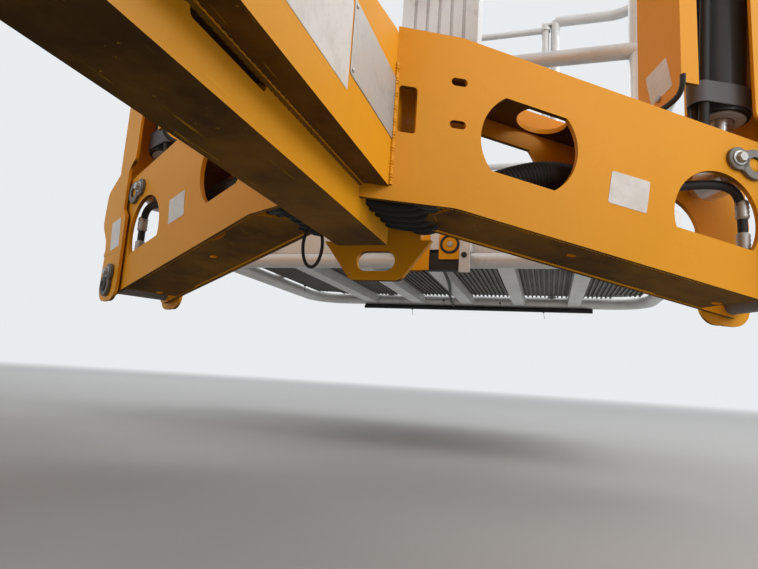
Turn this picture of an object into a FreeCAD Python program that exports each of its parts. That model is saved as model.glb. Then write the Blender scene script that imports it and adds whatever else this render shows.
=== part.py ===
import FreeCAD, Part
import math
import os
from FreeCAD import Vector

# Towable articulating boom lift, stowed for the road and parked on its wheels and tongue jack.
# Millimetres. +X points to the coupler, +Y to the machine's left and +Z up.
# The machine is drawn about its slew axis, and save() moves it to the middle of its length.

os.makedirs("parts", exist_ok=True)

# Fits
RUNNING = 0.05          # radial clearance of a pin in its bore
SEAT = 0.3              # gap between a moving face and its seat
SIDE = 5.0              # room beside a moving plate

# Chassis: a lower tube, a box over it, and four beams in an X
TUBE_Z = 361.0          # underside of the lower tube
TUBE_WIDE = 82.0
TUBE_HIGH = 50.0
TUBE_WALL = 5.0
BOX_WIDE = 152.0
BOX_HIGH = 180.0
BOX_WALL = 8.0
BOX_Z = TUBE_Z + TUBE_HIGH
BOX_TOP = BOX_Z + BOX_HIGH
ROOT_X = 900.0          # slew axis to where a beam's inner plate meets the box
BEAM_ANGLE = 28.5       # of a beam from square across
BEAM_WIDE = 128.0       # over a beam's two plates
BEAM_PLATE = 8.0
BEAM_ROOT_LOW = 31.0    # lower edge at the root, above the tube's underside
BEAM_ROOT_HIGH = 285.0
BEAM_BEND = 95.0        # along the beam, where its edges start to fall
BEAM_FALL = 0.17        # fall of both edges for each millimetre outwards
BEAM_LONG = 672.0
BEAM_CLOSER = 31.0      # from the plates' top edges down to the top plate
ROOT_HIGH = 275.0       # top of the box's root plates, above the tube's underside
FRAME_HALF = 1045.0     # slew axis to each end of the box
BRACKET_OUT = 52.0      # end of the box to the rear bracket

# Outrigger leg, a channel that straddles the beam's tip
PIVOT_U = 645.0
PIVOT_Z = 321.0
LEG_LONG = 950.0        # pivot to the top of the folded leg
LEG_PLATE = 6.0
LEG_GAP = 5.0           # beam plate to leg flange
LEG_WEB = 9.0           # pivot to the inner face of the web
LEG_BACK = 68.0         # pivot to the inboard edge of the flanges
GUARD_U = 201.0         # pivot to the inboard face of the guard channel
GUARD_DEEP = 31.0
GUARD_END = 90.0        # rear edge of the guard, across the beam
LEG_EAR = 40.0          # radius of the ear about the pivot
LEG_BULGE = 52.0        # pivot to the outboard edge of the ear
LEG_NECK = 185.0        # pivot to where the ear meets the web
LEG_STEP = 37.0         # pivot to the inboard edge of the ear
LEG_MOUTH = 240.0       # pivot to the lower end of the web
LEG_SWING = 105.0
PIVOT_PIN = 34.0
FOOT_SIZE = 130.0
FOOT_PLATE = 8.0
FOOT_STEM = 14.0

# Outrigger cylinder: barrel hinged high in the leg, rod eye between the beam's plates
BASE_U = 577.0
BASE_Z = 521.0
HEAD_U = 610.0
HEAD_DOWN = 93.0        # top of the folded leg down to the head pin
HEAD_Z = PIVOT_Z + LEG_LONG - HEAD_DOWN
STRUT_BORE = 76.0       # barrel's outer diameter
STRUT_ROD = 38.0
STRUT_EYE = 29.0
STRUT_PIN = 30.0

# Axle and wheels
AXLE_X = -60.0
AXLE_SIDE = 60.0
TYRE_RADIUS = 331.0
TYRE_WIDE = 205.0
RIM_RADIUS = 178.0
TRACK = 1290.0
FENDER_GAP = 62.0
FENDER_HALF = 775.0
FENDER_SHEET = 3.0

# Drawbar, coupler and tongue jack
COUPLER_X = 3450.0
DRAWBAR_WIDE = 100.0
DRAWBAR_HIGH = 100.0
DRAWBAR_WALL = 6.0
JACK_X = 2560.0
JACK_TUBE = 60.0
JACK_INNER = 50.0
JACK_TRAVEL = 250.0

# Boom rest
REST_X = 1200.0
REST_WIDE = 150.0
REST_PAD = 28.0         # thickness of the rubber pad
REST_LIP = 6.0          # from the riser's underside down to the side lips

# Turntable
RING_RADIUS = 300.0
RING_HIGH = 60.0
PEDESTAL_HIGH = 90.0
TABLE_PLATE = 16.0
CHEEK_Y = 130.0         # inner face of a turntable cheek
CHEEK_PLATE = 12.0
COVER_Y = 500.0
COVER_BACK = 480.0      # slew axis to the covers' rear ends
COVER_LONG = 1000.0
COVER_HIGH = 430.0
TRAY_BACK = 520.0
TRAY_FRONT = 560.0
TRAY_Y = 440.0
TRAY_PLATE = 7.0
CHEEK_FRONT = 420.0
BRACE_PLATE = 12.0
BATTERY_LONG = 660.0
BATTERY_WIDE = 240.0
BATTERY_HIGH = 280.0
BATTERY_IN = 190.0      # slew axis to the batteries' inner side
PANEL_WIDE = 240.0
PANEL_DEEP = 60.0
PANEL_HIGH = 150.0
PANEL_UP = 120.0        # deck to the ground panel

# Booms
RISER_X = -350.0
RISER_Z = 1380.0
RISER_LONG = 2550.0
RISER_WIDE = 110.0
RISER_HIGH = 150.0
RISER_PLUG = 110.0      # solid end round each of the riser's pins
LINK_DX = -100.0        # the tie bars' pivots from the riser's
LINK_DZ = 170.0
LINK_Y = 85.0
LINK_HIGH = 56.0
LINK_THICK = 14.0
KNUCKLE_HIGH = 420.0
BOOM_WIDE = 120.0
BOOM_HIGH = 150.0
BOOM_WALL = 7.0
BOOM_LONG = 3320.0
FLY_WIDE = 92.0
FLY_HIGH = 118.0
FLY_WALL = 6.0
FLY_TRAVEL = 2400.0
FLY_LAP = 500.0
BOOM_PIN = 40.0
LIFT_BASE = (50.0, -550.0)      # riser cylinder's base pin from the riser's pivot
LIFT_EYE = (800.0, -120.0)      # its rod eye
LUFF_BASE = (-100.0, -177.0)    # boom cylinder's base pin from the knuckle's top pin
LUFF_EYE = (-750.0, -114.0)     # its rod eye

# Platform
NEAR_X = -1543.0        # near floor tube
MAST_BACK = 43.0        # near floor tube to the fly boom's tip pin
PLATFORM_DEEP = 690.0   # between floor tubes
PLATFORM_WIDE = 1220.0
PLATFORM_Z = 431.0      # underside of the floor frame
RAIL = 38.0
POST = 32.0
MID_RAIL = 530.0
TOP_RAIL = 1100.0
CORNER = 110.0
SLAT = 28.0
GATE_HALF = 290.0
GATE_TUBE = 14.0        # radius of the gate's two posts
GATE_BAR = 12.0
GATE_HINGE_Y = 254.0
MAST_WIDE = 200.0
MAST_DEEP = 80.0

REAR_REACH = -NEAR_X + PLATFORM_DEEP + RAIL / 2
ORIGIN = Vector((REAR_REACH - COUPLER_X) / 2, 0, 0)
KNUCKLE_X = RISER_X + RISER_LONG
KNUCKLE_Z = RISER_Z + KNUCKLE_HIGH
TIP_X = NEAR_X + MAST_BACK
X_AXIS = Vector(1, 0, 0)
Y_AXIS = Vector(0, 1, 0)
Z_AXIS = Vector(0, 0, 1)


def box(x0, x1, y0, y1, z0, z1):
    """A block between two corners."""
    return Part.makeBox(x1 - x0, y1 - y0, z1 - z0, Vector(x0, y0, z0))


def cyl_y(x, z, radius, y0, y1):
    """A round bar across the machine."""
    return Part.makeCylinder(radius, y1 - y0, Vector(x, y0, z), Y_AXIS)


def cyl_z(x, y, radius, z0, z1):
    """An upright round bar."""
    return Part.makeCylinder(radius, z1 - z0, Vector(x, y, z0), Z_AXIS)


def bar(start, end, radius):
    """A round bar between two points."""
    run = end - start
    return Part.makeCylinder(radius, run.Length, start, run)


def fuse(shapes):
    """One solid from pieces that touch or overlap."""
    whole = shapes[0]
    if len(shapes) > 1:
        whole = whole.fuse(shapes[1:])
    return whole.removeSplitter()


def rounded(points, radii):
    """A closed flat wire through corner points, each corner rounded by its own radius."""
    edges = []
    count = len(points)
    starts = []
    ends = []
    for i in range(count):
        here = points[i]
        back = points[i - 1] - here
        ahead = points[(i + 1) % count] - here
        radius = radii[i]
        if radius <= 0:
            starts.append(here)
            ends.append(here)
            continue
        half = back.getAngle(ahead) / 2
        cut = radius / math.tan(half)
        back.normalize()
        ahead.normalize()
        first = here + back * cut
        last = here + ahead * cut
        middle = here + (back + ahead).normalize() * (radius / math.sin(half) - radius)
        starts.append(first)
        ends.append(last)
        edges.append(Part.Arc(first, middle, last).toShape())
    for i in range(count):
        after = (i + 1) % count
        if ends[i].distanceToPoint(starts[after]) > 1e-6:
            edges.append(Part.LineSegment(ends[i], starts[after]).toShape())
    return Part.Wire(Part.__sortEdges__(edges))


def plate_xz(outline, radii, y0, y1):
    """A plate in the X-Z plane, with rounded corners, from y0 to y1."""
    points = [Vector(x, y0, z) for x, z in outline]
    face = Part.Face(rounded(points, radii))
    return face.extrude(Vector(0, y1 - y0, 0))


def plate_xy(outline, radii, z0, z1):
    """A plate in the X-Y plane, with rounded corners, from z0 to z1."""
    points = [Vector(x, y, z0) for x, y in outline]
    face = Part.Face(rounded(points, radii))
    return face.extrude(Vector(0, 0, z1 - z0))


def slot_xz(x, z, long, high, y0, y1):
    """An obround cutter along X."""
    half = long / 2
    rise = high / 2
    outline = [(x - half, z - rise), (x + half, z - rise), (x + half, z + rise), (x - half, z + rise)]
    return plate_xz(outline, [rise * 0.999] * 4, y0, y1)


def bent_tube(points, radii, diameter):
    """A round tube along straight runs joined by tangent arcs."""
    edges = []
    last = points[0]
    for i in range(1, len(points) - 1):
        here = points[i]
        back = points[i - 1] - here
        ahead = points[i + 1] - here
        half = back.getAngle(ahead) / 2
        cut = radii[i - 1] / math.tan(half)
        back.normalize()
        ahead.normalize()
        first = here + back * cut
        end = here + ahead * cut
        middle = here + (back + ahead).normalize() * (radii[i - 1] / math.sin(half) - radii[i - 1])
        edges.append(Part.LineSegment(last, first).toShape())
        edges.append(Part.Arc(first, middle, end).toShape())
        last = end
    edges.append(Part.LineSegment(last, points[-1]).toShape())
    path = Part.Wire(edges)
    section = Part.Wire(Part.makeCircle(diameter / 2, points[0], points[1] - points[0]))
    return path.makePipeShell([section], True, True)


def slices(shape, xs=(), ys=(), zs=()):
    """The shape divided at planes into plain solids that touch face to face."""
    far = 9000.0
    pieces = [shape]
    for axis, values in enumerate((xs, ys, zs)):
        for value in sorted(values):
            low = Vector(-far, -far, -far)
            size = [2 * far, 2 * far, 2 * far]
            size[axis] = value + far
            below = Part.makeBox(size[0], size[1], size[2], low)
            divided = []
            for piece in pieces:
                bounds = piece.BoundBox
                lows = (bounds.XMin, bounds.YMin, bounds.ZMin)
                highs = (bounds.XMax, bounds.YMax, bounds.ZMax)
                if highs[axis] <= value + 0.01 or lows[axis] >= value - 0.01:
                    divided.append(piece)
                    continue
                divided += piece.common(below).Solids
                divided += piece.cut(below).Solids
            pieces = divided
    return pieces


def save(name, *solids):
    """Writes one node, moved so that the machine's middle is the origin."""
    pieces = []
    for solid in solids:
        pieces += solid.Solids
    shape = pieces[0] if len(pieces) == 1 else Part.makeCompound(pieces)
    shape = shape.copy()
    shape.translate(ORIGIN)
    shape.exportStep("parts/" + name + ".step")


# Each corner of the X frame: name, sign along X, sign along Y
CORNERS = (
    ("rear_left", -1, 1),
    ("rear_right", -1, -1),
    ("front_left", 1, 1),
    ("front_right", 1, -1),
)


def at_corner(shape, sign_x, sign_y):
    """Turns a shape drawn along a beam (X outwards, Y away from the slew axis) to its corner."""
    placed = shape.copy()
    placed.rotate(Vector(0, 0, 0), Z_AXIS, 90 + BEAM_ANGLE)
    placed.translate(Vector(-ROOT_X, BOX_WIDE / 2, 0))
    if sign_x > 0:
        placed = placed.mirror(Vector(0, 0, 0), X_AXIS)
    if sign_y < 0:
        placed = placed.mirror(Vector(0, 0, 0), Y_AXIS)
    return placed


def beam_edge(u, at_root):
    """Height of a beam's edge at a distance along it."""
    return TUBE_Z + at_root - max(0.0, u - BEAM_BEND) * BEAM_FALL


def beam_side():
    """The outline of a beam's plate, as points and corner radii."""
    low = [(u, beam_edge(u, BEAM_ROOT_LOW)) for u in (-60.0, BEAM_BEND, BEAM_LONG)]
    high = [(u, beam_edge(u, BEAM_ROOT_HIGH)) for u in (BEAM_LONG, BEAM_BEND, -60.0)]
    return low + high, [0, 60, 22, 30, 60, 0]


def beam_openings():
    """Cutters for the openings that both plates of a beam share."""
    y0 = -1.0
    y1 = BEAM_WIDE + 1.0
    tilt = math.degrees(math.atan(BEAM_FALL))
    # First opening: a circle with flats parallel to the beam's edges
    mid_u = 202.0
    mid_z = beam_edge(mid_u, (BEAM_ROOT_LOW + BEAM_ROOT_HIGH) / 2)
    round_one = cyl_y(mid_u, mid_z, 75.0, y0, y1)
    band = box(mid_u - 90, mid_u + 90, y0, y1, mid_z - 57, mid_z + 57)
    band.rotate(Vector(mid_u, 0, mid_z), Y_AXIS, tilt)
    first = round_one.common(band)
    # Second opening: an arch with a flat sill
    arch_u = 510.0
    arch_z = TUBE_Z + 67.0
    round_two = cyl_y(arch_u, arch_z, 75.0, y0, y1)
    sill = box(arch_u - 90, arch_u + 90, y0, y1, arch_z - 33, arch_z + 90)
    sill.rotate(Vector(arch_u, 0, arch_z), Y_AXIS, tilt)
    second = round_two.common(sill)
    # Two short cable slots near the root
    cuts = [first, second]
    for rise in (216.0, 152.0):
        cuts.append(slot_xz(92.5, TUBE_Z + rise, 24.0, 12.0, y0, y1))
    return cuts


def make_beam():
    """One outrigger beam: two plates, a top and a bottom plate between them, open at the tip."""
    outline, radii = beam_side()
    front = plate_xz(outline, radii, 0.0, BEAM_PLATE)
    rear = plate_xz(outline, radii, BEAM_WIDE - BEAM_PLATE, BEAM_WIDE)
    # Cable window in the front plate, beside the box
    window = [(6, TUBE_Z + 129), (32, TUBE_Z + 129), (32, TUBE_Z + 197), (6, TUBE_Z + 197)]
    front = front.cut(plate_xz(window, [5] * 4, -1, BEAM_PLATE + 1))
    floor_end = PIVOT_U - 60.0
    top_end = BASE_U - 78.0
    y0 = BEAM_PLATE
    y1 = BEAM_WIDE - BEAM_PLATE
    plates = [front, rear]
    for start, end, edge, inset, thick in (
        (-60.0, floor_end, BEAM_ROOT_LOW, 2.0, BEAM_PLATE),
        (-60.0, top_end, BEAM_ROOT_HIGH, -BEAM_CLOSER, -BEAM_PLATE),
    ):
        run = [start, BEAM_BEND, end]
        near = [(u, beam_edge(u, edge) + inset) for u in run]
        far = [(u, beam_edge(u, edge) + inset + thick) for u in reversed(run)]
        plates.append(plate_xz(near + far, [0] * 6, y0, y1))
    # The bottom plate starts on a slant, and leaves the root open for the hoses
    low = TUBE_Z - 80
    slant = plate_xy([(-300, -20), (111, -20), (53, 98), (70, 140), (-300, 140)], [0] * 5, low, BOX_Z)
    # Half-round notch beside the front plate, and two drain holes
    notch = cyl_z(207, -25.0, 44.0, low, BOX_Z)
    drains = [cyl_z(300, 56, 7, low, BOX_Z), cyl_z(575, 78, 7, low, BOX_Z)]
    plates[2] = plates[2].cut([slant, notch] + drains)
    # Round hole in the top plate
    plates[3] = plates[3].cut(cyl_z(258, 76, 39, BOX_Z, BOX_Z + 400))
    cuts = beam_openings()
    cuts.append(cyl_y(PIVOT_U, PIVOT_Z, PIVOT_PIN / 2 + RUNNING, -1, BEAM_WIDE + 1))
    return [plates[0].cut(cuts), plates[1].cut(cuts), plates[2], plates[3]]


def build_beams():
    """Four beams, fitted to the box's sides and, below the box, to the tube's sides."""
    plates = make_beam()
    half = BOX_WIDE / 2
    inside = TUBE_WIDE / 2
    spine = [
        box(-2000, 2000, -half, half, BOX_Z, 1000),
        box(-2000, 2000, -inside, inside, 0, 1000),
        box(FRAME_HALF, 2000, -half, half, 0, 1000),
    ]
    for name, sign_x, sign_y in CORNERS:
        placed = []
        for plate in plates:
            placed += at_corner(plate, sign_x, sign_y).cut(spine).Solids
        save("outrigger_beam_" + name, *placed)


def build_spine():
    """The box and the lower tube that carry everything."""
    half = BOX_WIDE / 2
    outer = box(-FRAME_HALF, FRAME_HALF, -half, half, BOX_Z, BOX_TOP)
    inside = half - BOX_WALL
    hollow = box(-FRAME_HALF - 1, FRAME_HALF + 1, -inside, inside, BOX_Z + BOX_WALL, BOX_TOP - BOX_WALL)
    pieces = [outer.cut(hollow)]
    # Root plates on the box, which rise to the height of the beams
    top = TUBE_Z + ROOT_HIGH
    for sign_x in (-1, 1):
        for y0 in (-half, inside):
            end = sign_x * (FRAME_HALF - 4)
            outline = [(sign_x * 700, BOX_TOP), (end, BOX_TOP), (end, top), (sign_x * 890, top)]
            pieces.append(plate_xz(outline, [0, 0, 12, 30], y0, y0 + BOX_WALL))
    save("spine_box", *pieces)
    half = TUBE_WIDE / 2
    inside = half - TUBE_WALL
    tube = box(-FRAME_HALF + 22, FRAME_HALF, -half, half, TUBE_Z, BOX_Z)
    hollow = box(-FRAME_HALF, FRAME_HALF + 1, -inside, inside, TUBE_Z + TUBE_WALL, BOX_Z - TUBE_WALL)
    tube = tube.cut(hollow)
    # Shallow notches in the tube's upper edges, open to the box's underside
    for x in (-570.0, 570.0):
        outline = [(x - 55, BOX_Z - 11), (x + 55, BOX_Z - 11), (x + 55, BOX_Z + 20), (x - 55, BOX_Z + 20)]
        tube = tube.cut(plate_xz(outline, [5, 5, 0, 0], -half - 1, half + 1))
    save("lower_tube", tube)


def build_rear_bracket():
    """The towing bracket that hangs below the rear end of the frame."""
    x = -(FRAME_HALF + BRACKET_OUT)
    top = TUBE_Z + 26.0
    points = [
        Vector(x, -95, top),
        Vector(x, 95, top),
        Vector(x, 44, TUBE_Z - 42),
        Vector(x, -44, TUBE_Z - 42),
    ]
    face = Part.Face(rounded(points, [0, 0, 16, 16]))
    hanger = face.extrude(Vector(-12, 0, 0))
    hole = [
        Vector(x + 1, -34, TUBE_Z - 26),
        Vector(x + 1, 34, TUBE_Z - 26),
        Vector(x + 1, 34, TUBE_Z + 8),
        Vector(x + 1, -34, TUBE_Z + 8),
    ]
    hanger = hanger.cut(Part.Face(rounded(hole, [16.9] * 4)).extrude(Vector(-14, 0, 0)))
    pieces = slices(hanger, ys=(-34.0, 34.0), zs=(TUBE_Z - 26.0, TUBE_Z + 8.0))
    # Riser plate up to the end of the box, the strut that ties it, and a gusset to its right
    pieces.append(box(x - 10, x, -76, 76, top, BOX_TOP - 10))
    pieces.append(box(x, -FRAME_HALF, -70, 70, BOX_Z + 20, BOX_Z + 32))
    gusset = [(x - 10, top + 6), (x - 70, TUBE_Z + 56), (x - 70, TUBE_Z + 92), (x - 10, BOX_Z + 60)]
    pieces.append(plate_xz(gusset, [0, 20, 20, 0], 66, 76))
    save("rear_bracket", *pieces)


def keeper(u, z, away, lean, eye=0.0):
    """A lozenge keeper plate with its bolt, lying on the face that 'away' points out of."""
    thick = 6.0
    y0 = -thick if away < 0 else 0.0
    big = cyl_y(0, 0, 24, y0, y0 + thick)
    small = cyl_y(-30, 0, 14, y0, y0 + thick)
    web = plate_xz([(0, -23.9), (-30, -13.9), (-30, 13.9), (0, 23.9)], [0] * 4, y0, y0 + thick)
    lozenge = fuse([big, small, web])
    if eye > 0:
        lozenge = lozenge.cut(cyl_y(0, 0, eye, y0 - 1, y0 + thick + 1))
    bolt = cyl_y(-30, 0, 6.5, y0 - (5 if away < 0 else 0), y0 + thick + (5 if away > 0 else 0))
    lozenge = fuse([lozenge, bolt])
    lozenge.rotate(Vector(0, 0, 0), Y_AXIS, lean)
    lozenge.translate(Vector(u, 0, z))
    return lozenge


def build_pins():
    """The pivot pins of the four legs, with the keepers of the cylinder pins."""
    out = LEG_GAP + LEG_PLATE
    pins = []
    for _, sign_x, sign_y in CORNERS:
        pin = cyl_y(PIVOT_U, PIVOT_Z, PIVOT_PIN / 2, -out - 1.0, BEAM_WIDE + out + 1.0)
        near = keeper(PIVOT_U, PIVOT_Z, -1, 62.0)
        near.translate(Vector(0, -out - 1.0, 0))
        far = keeper(PIVOT_U, PIVOT_Z, 1, 62.0)
        far.translate(Vector(0, BEAM_WIDE + out + 1.0, 0))
        pins.append(at_corner(fuse([pin, near, far]), sign_x, sign_y))
        for away, face in ((-1, 0.0), (1, BEAM_WIDE)):
            cap = keeper(BASE_U, BASE_Z, away, 12.0, 12.0)
            cap.translate(Vector(0, face, 0))
            pins.append(at_corner(cap, sign_x, sign_y))
    save("outrigger_pins", *pins)


def make_leg():
    """An outrigger leg, folded upright, drawn in the beam's frame, as plates that touch."""
    inner = -LEG_GAP
    outer = BEAM_WIDE + LEG_GAP
    top = PIVOT_Z + LEG_LONG
    web_u = PIVOT_U + LEG_WEB
    back_u = PIVOT_U - LEG_BACK
    guard_u = PIVOT_U - GUARD_U
    beam_top = beam_edge(back_u, BEAM_ROOT_HIGH) + 26.0
    guard_low = beam_edge(guard_u, BEAM_ROOT_HIGH) + 26.0
    step_u = PIVOT_U - LEG_STEP
    lid = top - LEG_PLATE
    flange = [
        (step_u, PIVOT_Z - LEG_EAR + 4),
        (PIVOT_U + LEG_BULGE, PIVOT_Z - LEG_EAR + 4),
        (PIVOT_U + LEG_BULGE - 8, PIVOT_Z + 75),
        (PIVOT_U + LEG_BULGE + 2, PIVOT_Z + LEG_NECK - 60),
        (web_u + LEG_PLATE, PIVOT_Z + LEG_NECK),
        (web_u + LEG_PLATE, lid),
        (back_u, lid),
        (back_u, beam_top),
        (step_u, beam_top),
    ]
    radii = [34, 34, 40, 28, 30, 0, 0, 20, 24]
    front = plate_xz(flange, radii, inner - LEG_PLATE, inner)
    rear = plate_xz(flange, radii, outer, outer + LEG_PLATE)
    web = box(web_u, web_u + LEG_PLATE, inner, outer, PIVOT_Z + LEG_MOUTH, lid)
    cap = box(guard_u, web_u + LEG_PLATE, inner - LEG_PLATE, outer + LEG_PLATE, lid, top)
    # Guard channel inboard of the cylinder
    deep = guard_u + GUARD_DEEP
    sheet = [
        Vector(guard_u, inner - LEG_PLATE, guard_low),
        Vector(guard_u, GUARD_END, guard_low),
        Vector(guard_u, GUARD_END, lid),
        Vector(guard_u, inner - LEG_PLATE, lid),
    ]
    guard = Part.Face(rounded(sheet, [22, 22, 0, 0])).extrude(Vector(LEG_PLATE, 0, 0))
    guard_front = box(guard_u + LEG_PLATE, deep, inner - LEG_PLATE, inner, guard_low + 22, lid)
    guard_rear = box(guard_u + LEG_PLATE, deep, GUARD_END - LEG_PLATE, GUARD_END, guard_low + 22, lid)
    strap = box(deep, back_u, inner - LEG_PLATE, inner, PIVOT_Z + 680, PIVOT_Z + 760)
    # The pin of the cylinder's head, with a collar outside each flange
    ends = (inner - LEG_PLATE, outer + LEG_PLATE)
    pin = cyl_y(HEAD_U, HEAD_Z, STRUT_PIN / 2, ends[0] - 3, ends[1] + 3)
    near = cyl_y(HEAD_U, HEAD_Z, STRUT_PIN / 2 + 6, ends[0] - 6, ends[0])
    far = cyl_y(HEAD_U, HEAD_Z, STRUT_PIN / 2 + 6, ends[1], ends[1] + 6)
    bores = [
        cyl_y(PIVOT_U, PIVOT_Z, PIVOT_PIN / 2 + RUNNING, inner - 20, outer + 20),
        cyl_y(HEAD_U, HEAD_Z, STRUT_PIN / 2 + RUNNING, inner - 20, outer + 20),
    ]
    # The foot, square to the ground once the leg is down
    mid = BEAM_WIDE / 2
    foot_u = web_u + LEG_PLATE
    foot_z = top - FOOT_SIZE * 0.55
    sole = foot_u + FOOT_STEM
    reach = FOOT_SIZE / 2
    stem = box(foot_u - 12, sole, mid - 40, mid + 40, foot_z - 32, foot_z + 32)
    pad = box(sole, sole + FOOT_PLATE, mid - reach, mid + reach, foot_z - reach, foot_z + reach)
    room = box(foot_u - 60, foot_u, mid - 200, mid + 200, foot_z - 200, foot_z + 200)
    foot = []
    for piece in (stem, pad):
        piece.rotate(Vector(foot_u, 0, foot_z), Y_AXIS, 90 - LEG_SWING)
        foot.append(piece.cut(room))
    return [
        front.cut(bores),
        rear.cut(bores),
        web,
        cap,
        guard,
        guard_front,
        guard_rear,
        strap,
        fuse([pin, near, far]),
    ] + foot


def make_strut():
    """The barrel and the rod of an outrigger cylinder, drawn upright between its two pins."""
    mid = BEAM_WIDE / 2
    head = Vector(HEAD_U, mid, HEAD_Z)
    base = Vector(BASE_U, mid, BASE_Z)
    run = base - head
    length = run.Length
    run.normalize()
    eye_half = 28.0
    barrel_end = length - 105.0
    barrel = bar(head + run * (STRUT_EYE + 4), head + run * barrel_end, STRUT_BORE / 2)
    gland = bar(head + run * (barrel_end - 46), head + run * barrel_end, STRUT_BORE / 2 + 5)
    eye = cyl_y(HEAD_U, HEAD_Z, STRUT_EYE, mid - eye_half, mid + eye_half)
    neck = bar(head, head + run * (STRUT_EYE + 6), 22)
    barrel = fuse([barrel, gland, eye, neck])
    bore = bar(head + run * 90, head + run * (length + 1), STRUT_ROD / 2 + RUNNING)
    barrel = barrel.cut([bore, cyl_y(HEAD_U, HEAD_Z, STRUT_PIN / 2 + RUNNING, 0, BEAM_WIDE)])
    knob = cyl_y(BASE_U, BASE_Z, STRUT_EYE, mid - eye_half, mid + eye_half)
    rod = bar(head + run * 140, base, STRUT_ROD / 2).cut(knob)
    stub_end = BEAM_WIDE - BEAM_PLATE - SEAT
    stubs = [
        cyl_y(BASE_U, BASE_Z, STRUT_PIN / 2, BEAM_PLATE + SEAT, mid - eye_half),
        cyl_y(BASE_U, BASE_Z, STRUT_PIN / 2, mid + eye_half, stub_end),
    ]
    return [barrel], [rod, knob] + stubs


def build_legs():
    """Legs and their cylinders at the four corners."""
    leg = make_leg()
    barrel, rod = make_strut()
    for name, sign_x, sign_y in CORNERS:
        for start, pieces in (("outrigger_leg_", leg), ("leg_barrel_", barrel), ("leg_rod_", rod)):
            save(start + name, *[at_corner(piece, sign_x, sign_y) for piece in pieces])


def build_axle():
    """The axle under the tube, with a spindle and a hub flange at each end."""
    z = TYRE_RADIUS
    half = TRACK / 2 - 120.0
    low = TUBE_Z - AXLE_SIDE
    beam = box(AXLE_X - AXLE_SIDE / 2, AXLE_X + AXLE_SIDE / 2, -half, half, low, TUBE_Z)
    shapes = [beam]
    for sign in (-1, 1):
        y_in = sign * (half - 1)
        y_out = sign * (TRACK / 2 + 30)
        shapes.append(cyl_y(AXLE_X, z, 17.0, min(y_in, y_out), max(y_in, y_out)))
        drum_in = sign * half
        drum_out = sign * (half + 40)
        shapes.append(cyl_y(AXLE_X, z, 70.0, min(drum_in, drum_out), max(drum_in, drum_out)))
    save("axle", fuse(shapes))


def revolve_profile(points, radii, y_shift):
    """A solid of revolution about the axle from a profile of (radius, width) points."""
    corners = [Vector(0, y, r) for r, y in points]
    face = Part.Face(rounded(corners, radii))
    solid = face.revolve(Vector(0, 0, 0), Y_AXIS, 360)
    solid.translate(Vector(AXLE_X, y_shift, TYRE_RADIUS))
    return solid


def build_wheels():
    """Tyre and rim at each side."""
    half = TYRE_WIDE / 2
    bead = half - 22
    lip = bead + SEAT
    tyre_points = [
        (RIM_RADIUS, -bead),
        (RIM_RADIUS + 14, -bead),
        (RIM_RADIUS + 70, -half),
        (TYRE_RADIUS - 30, -half + 6),
        (TYRE_RADIUS, -half + 38),
        (TYRE_RADIUS, half - 38),
        (TYRE_RADIUS - 30, half - 6),
        (RIM_RADIUS + 70, half),
        (RIM_RADIUS + 14, bead),
        (RIM_RADIUS, bead),
    ]
    tyre_radii = [0, 0, 40, 26, 20, 20, 26, 40, 0, 0]
    rim_points = [
        (17.0 + RUNNING, 26),
        (60, 26),
        (60, 6),
        (RIM_RADIUS - 30, -14),
        (RIM_RADIUS - 18, -half + 20),
        (RIM_RADIUS + 10, -half + 10),
        (RIM_RADIUS + 10, -lip),
        (RIM_RADIUS - SEAT, -lip),
        (RIM_RADIUS - SEAT, lip),
        (RIM_RADIUS + 10, lip),
        (RIM_RADIUS + 10, half - 10),
        (RIM_RADIUS - 18, half - 20),
        (RIM_RADIUS - 26, -4),
        (66, 16),
        (40, 60),
        (17.0 + RUNNING, 60),
    ]
    for side, sign in (("left", 1), ("right", -1)):
        tyre = revolve_profile(tyre_points, tyre_radii, sign * TRACK / 2)
        rim_face = Part.Face(rounded([Vector(0, sign * y, r) for r, y in rim_points], [0] * len(rim_points)))
        rim = rim_face.revolve(Vector(0, 0, 0), Y_AXIS, 360)
        rim.translate(Vector(AXLE_X, sign * TRACK / 2, TYRE_RADIUS))
        save("tyre_" + side, tyre)
        save("rim_" + side, rim)


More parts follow.
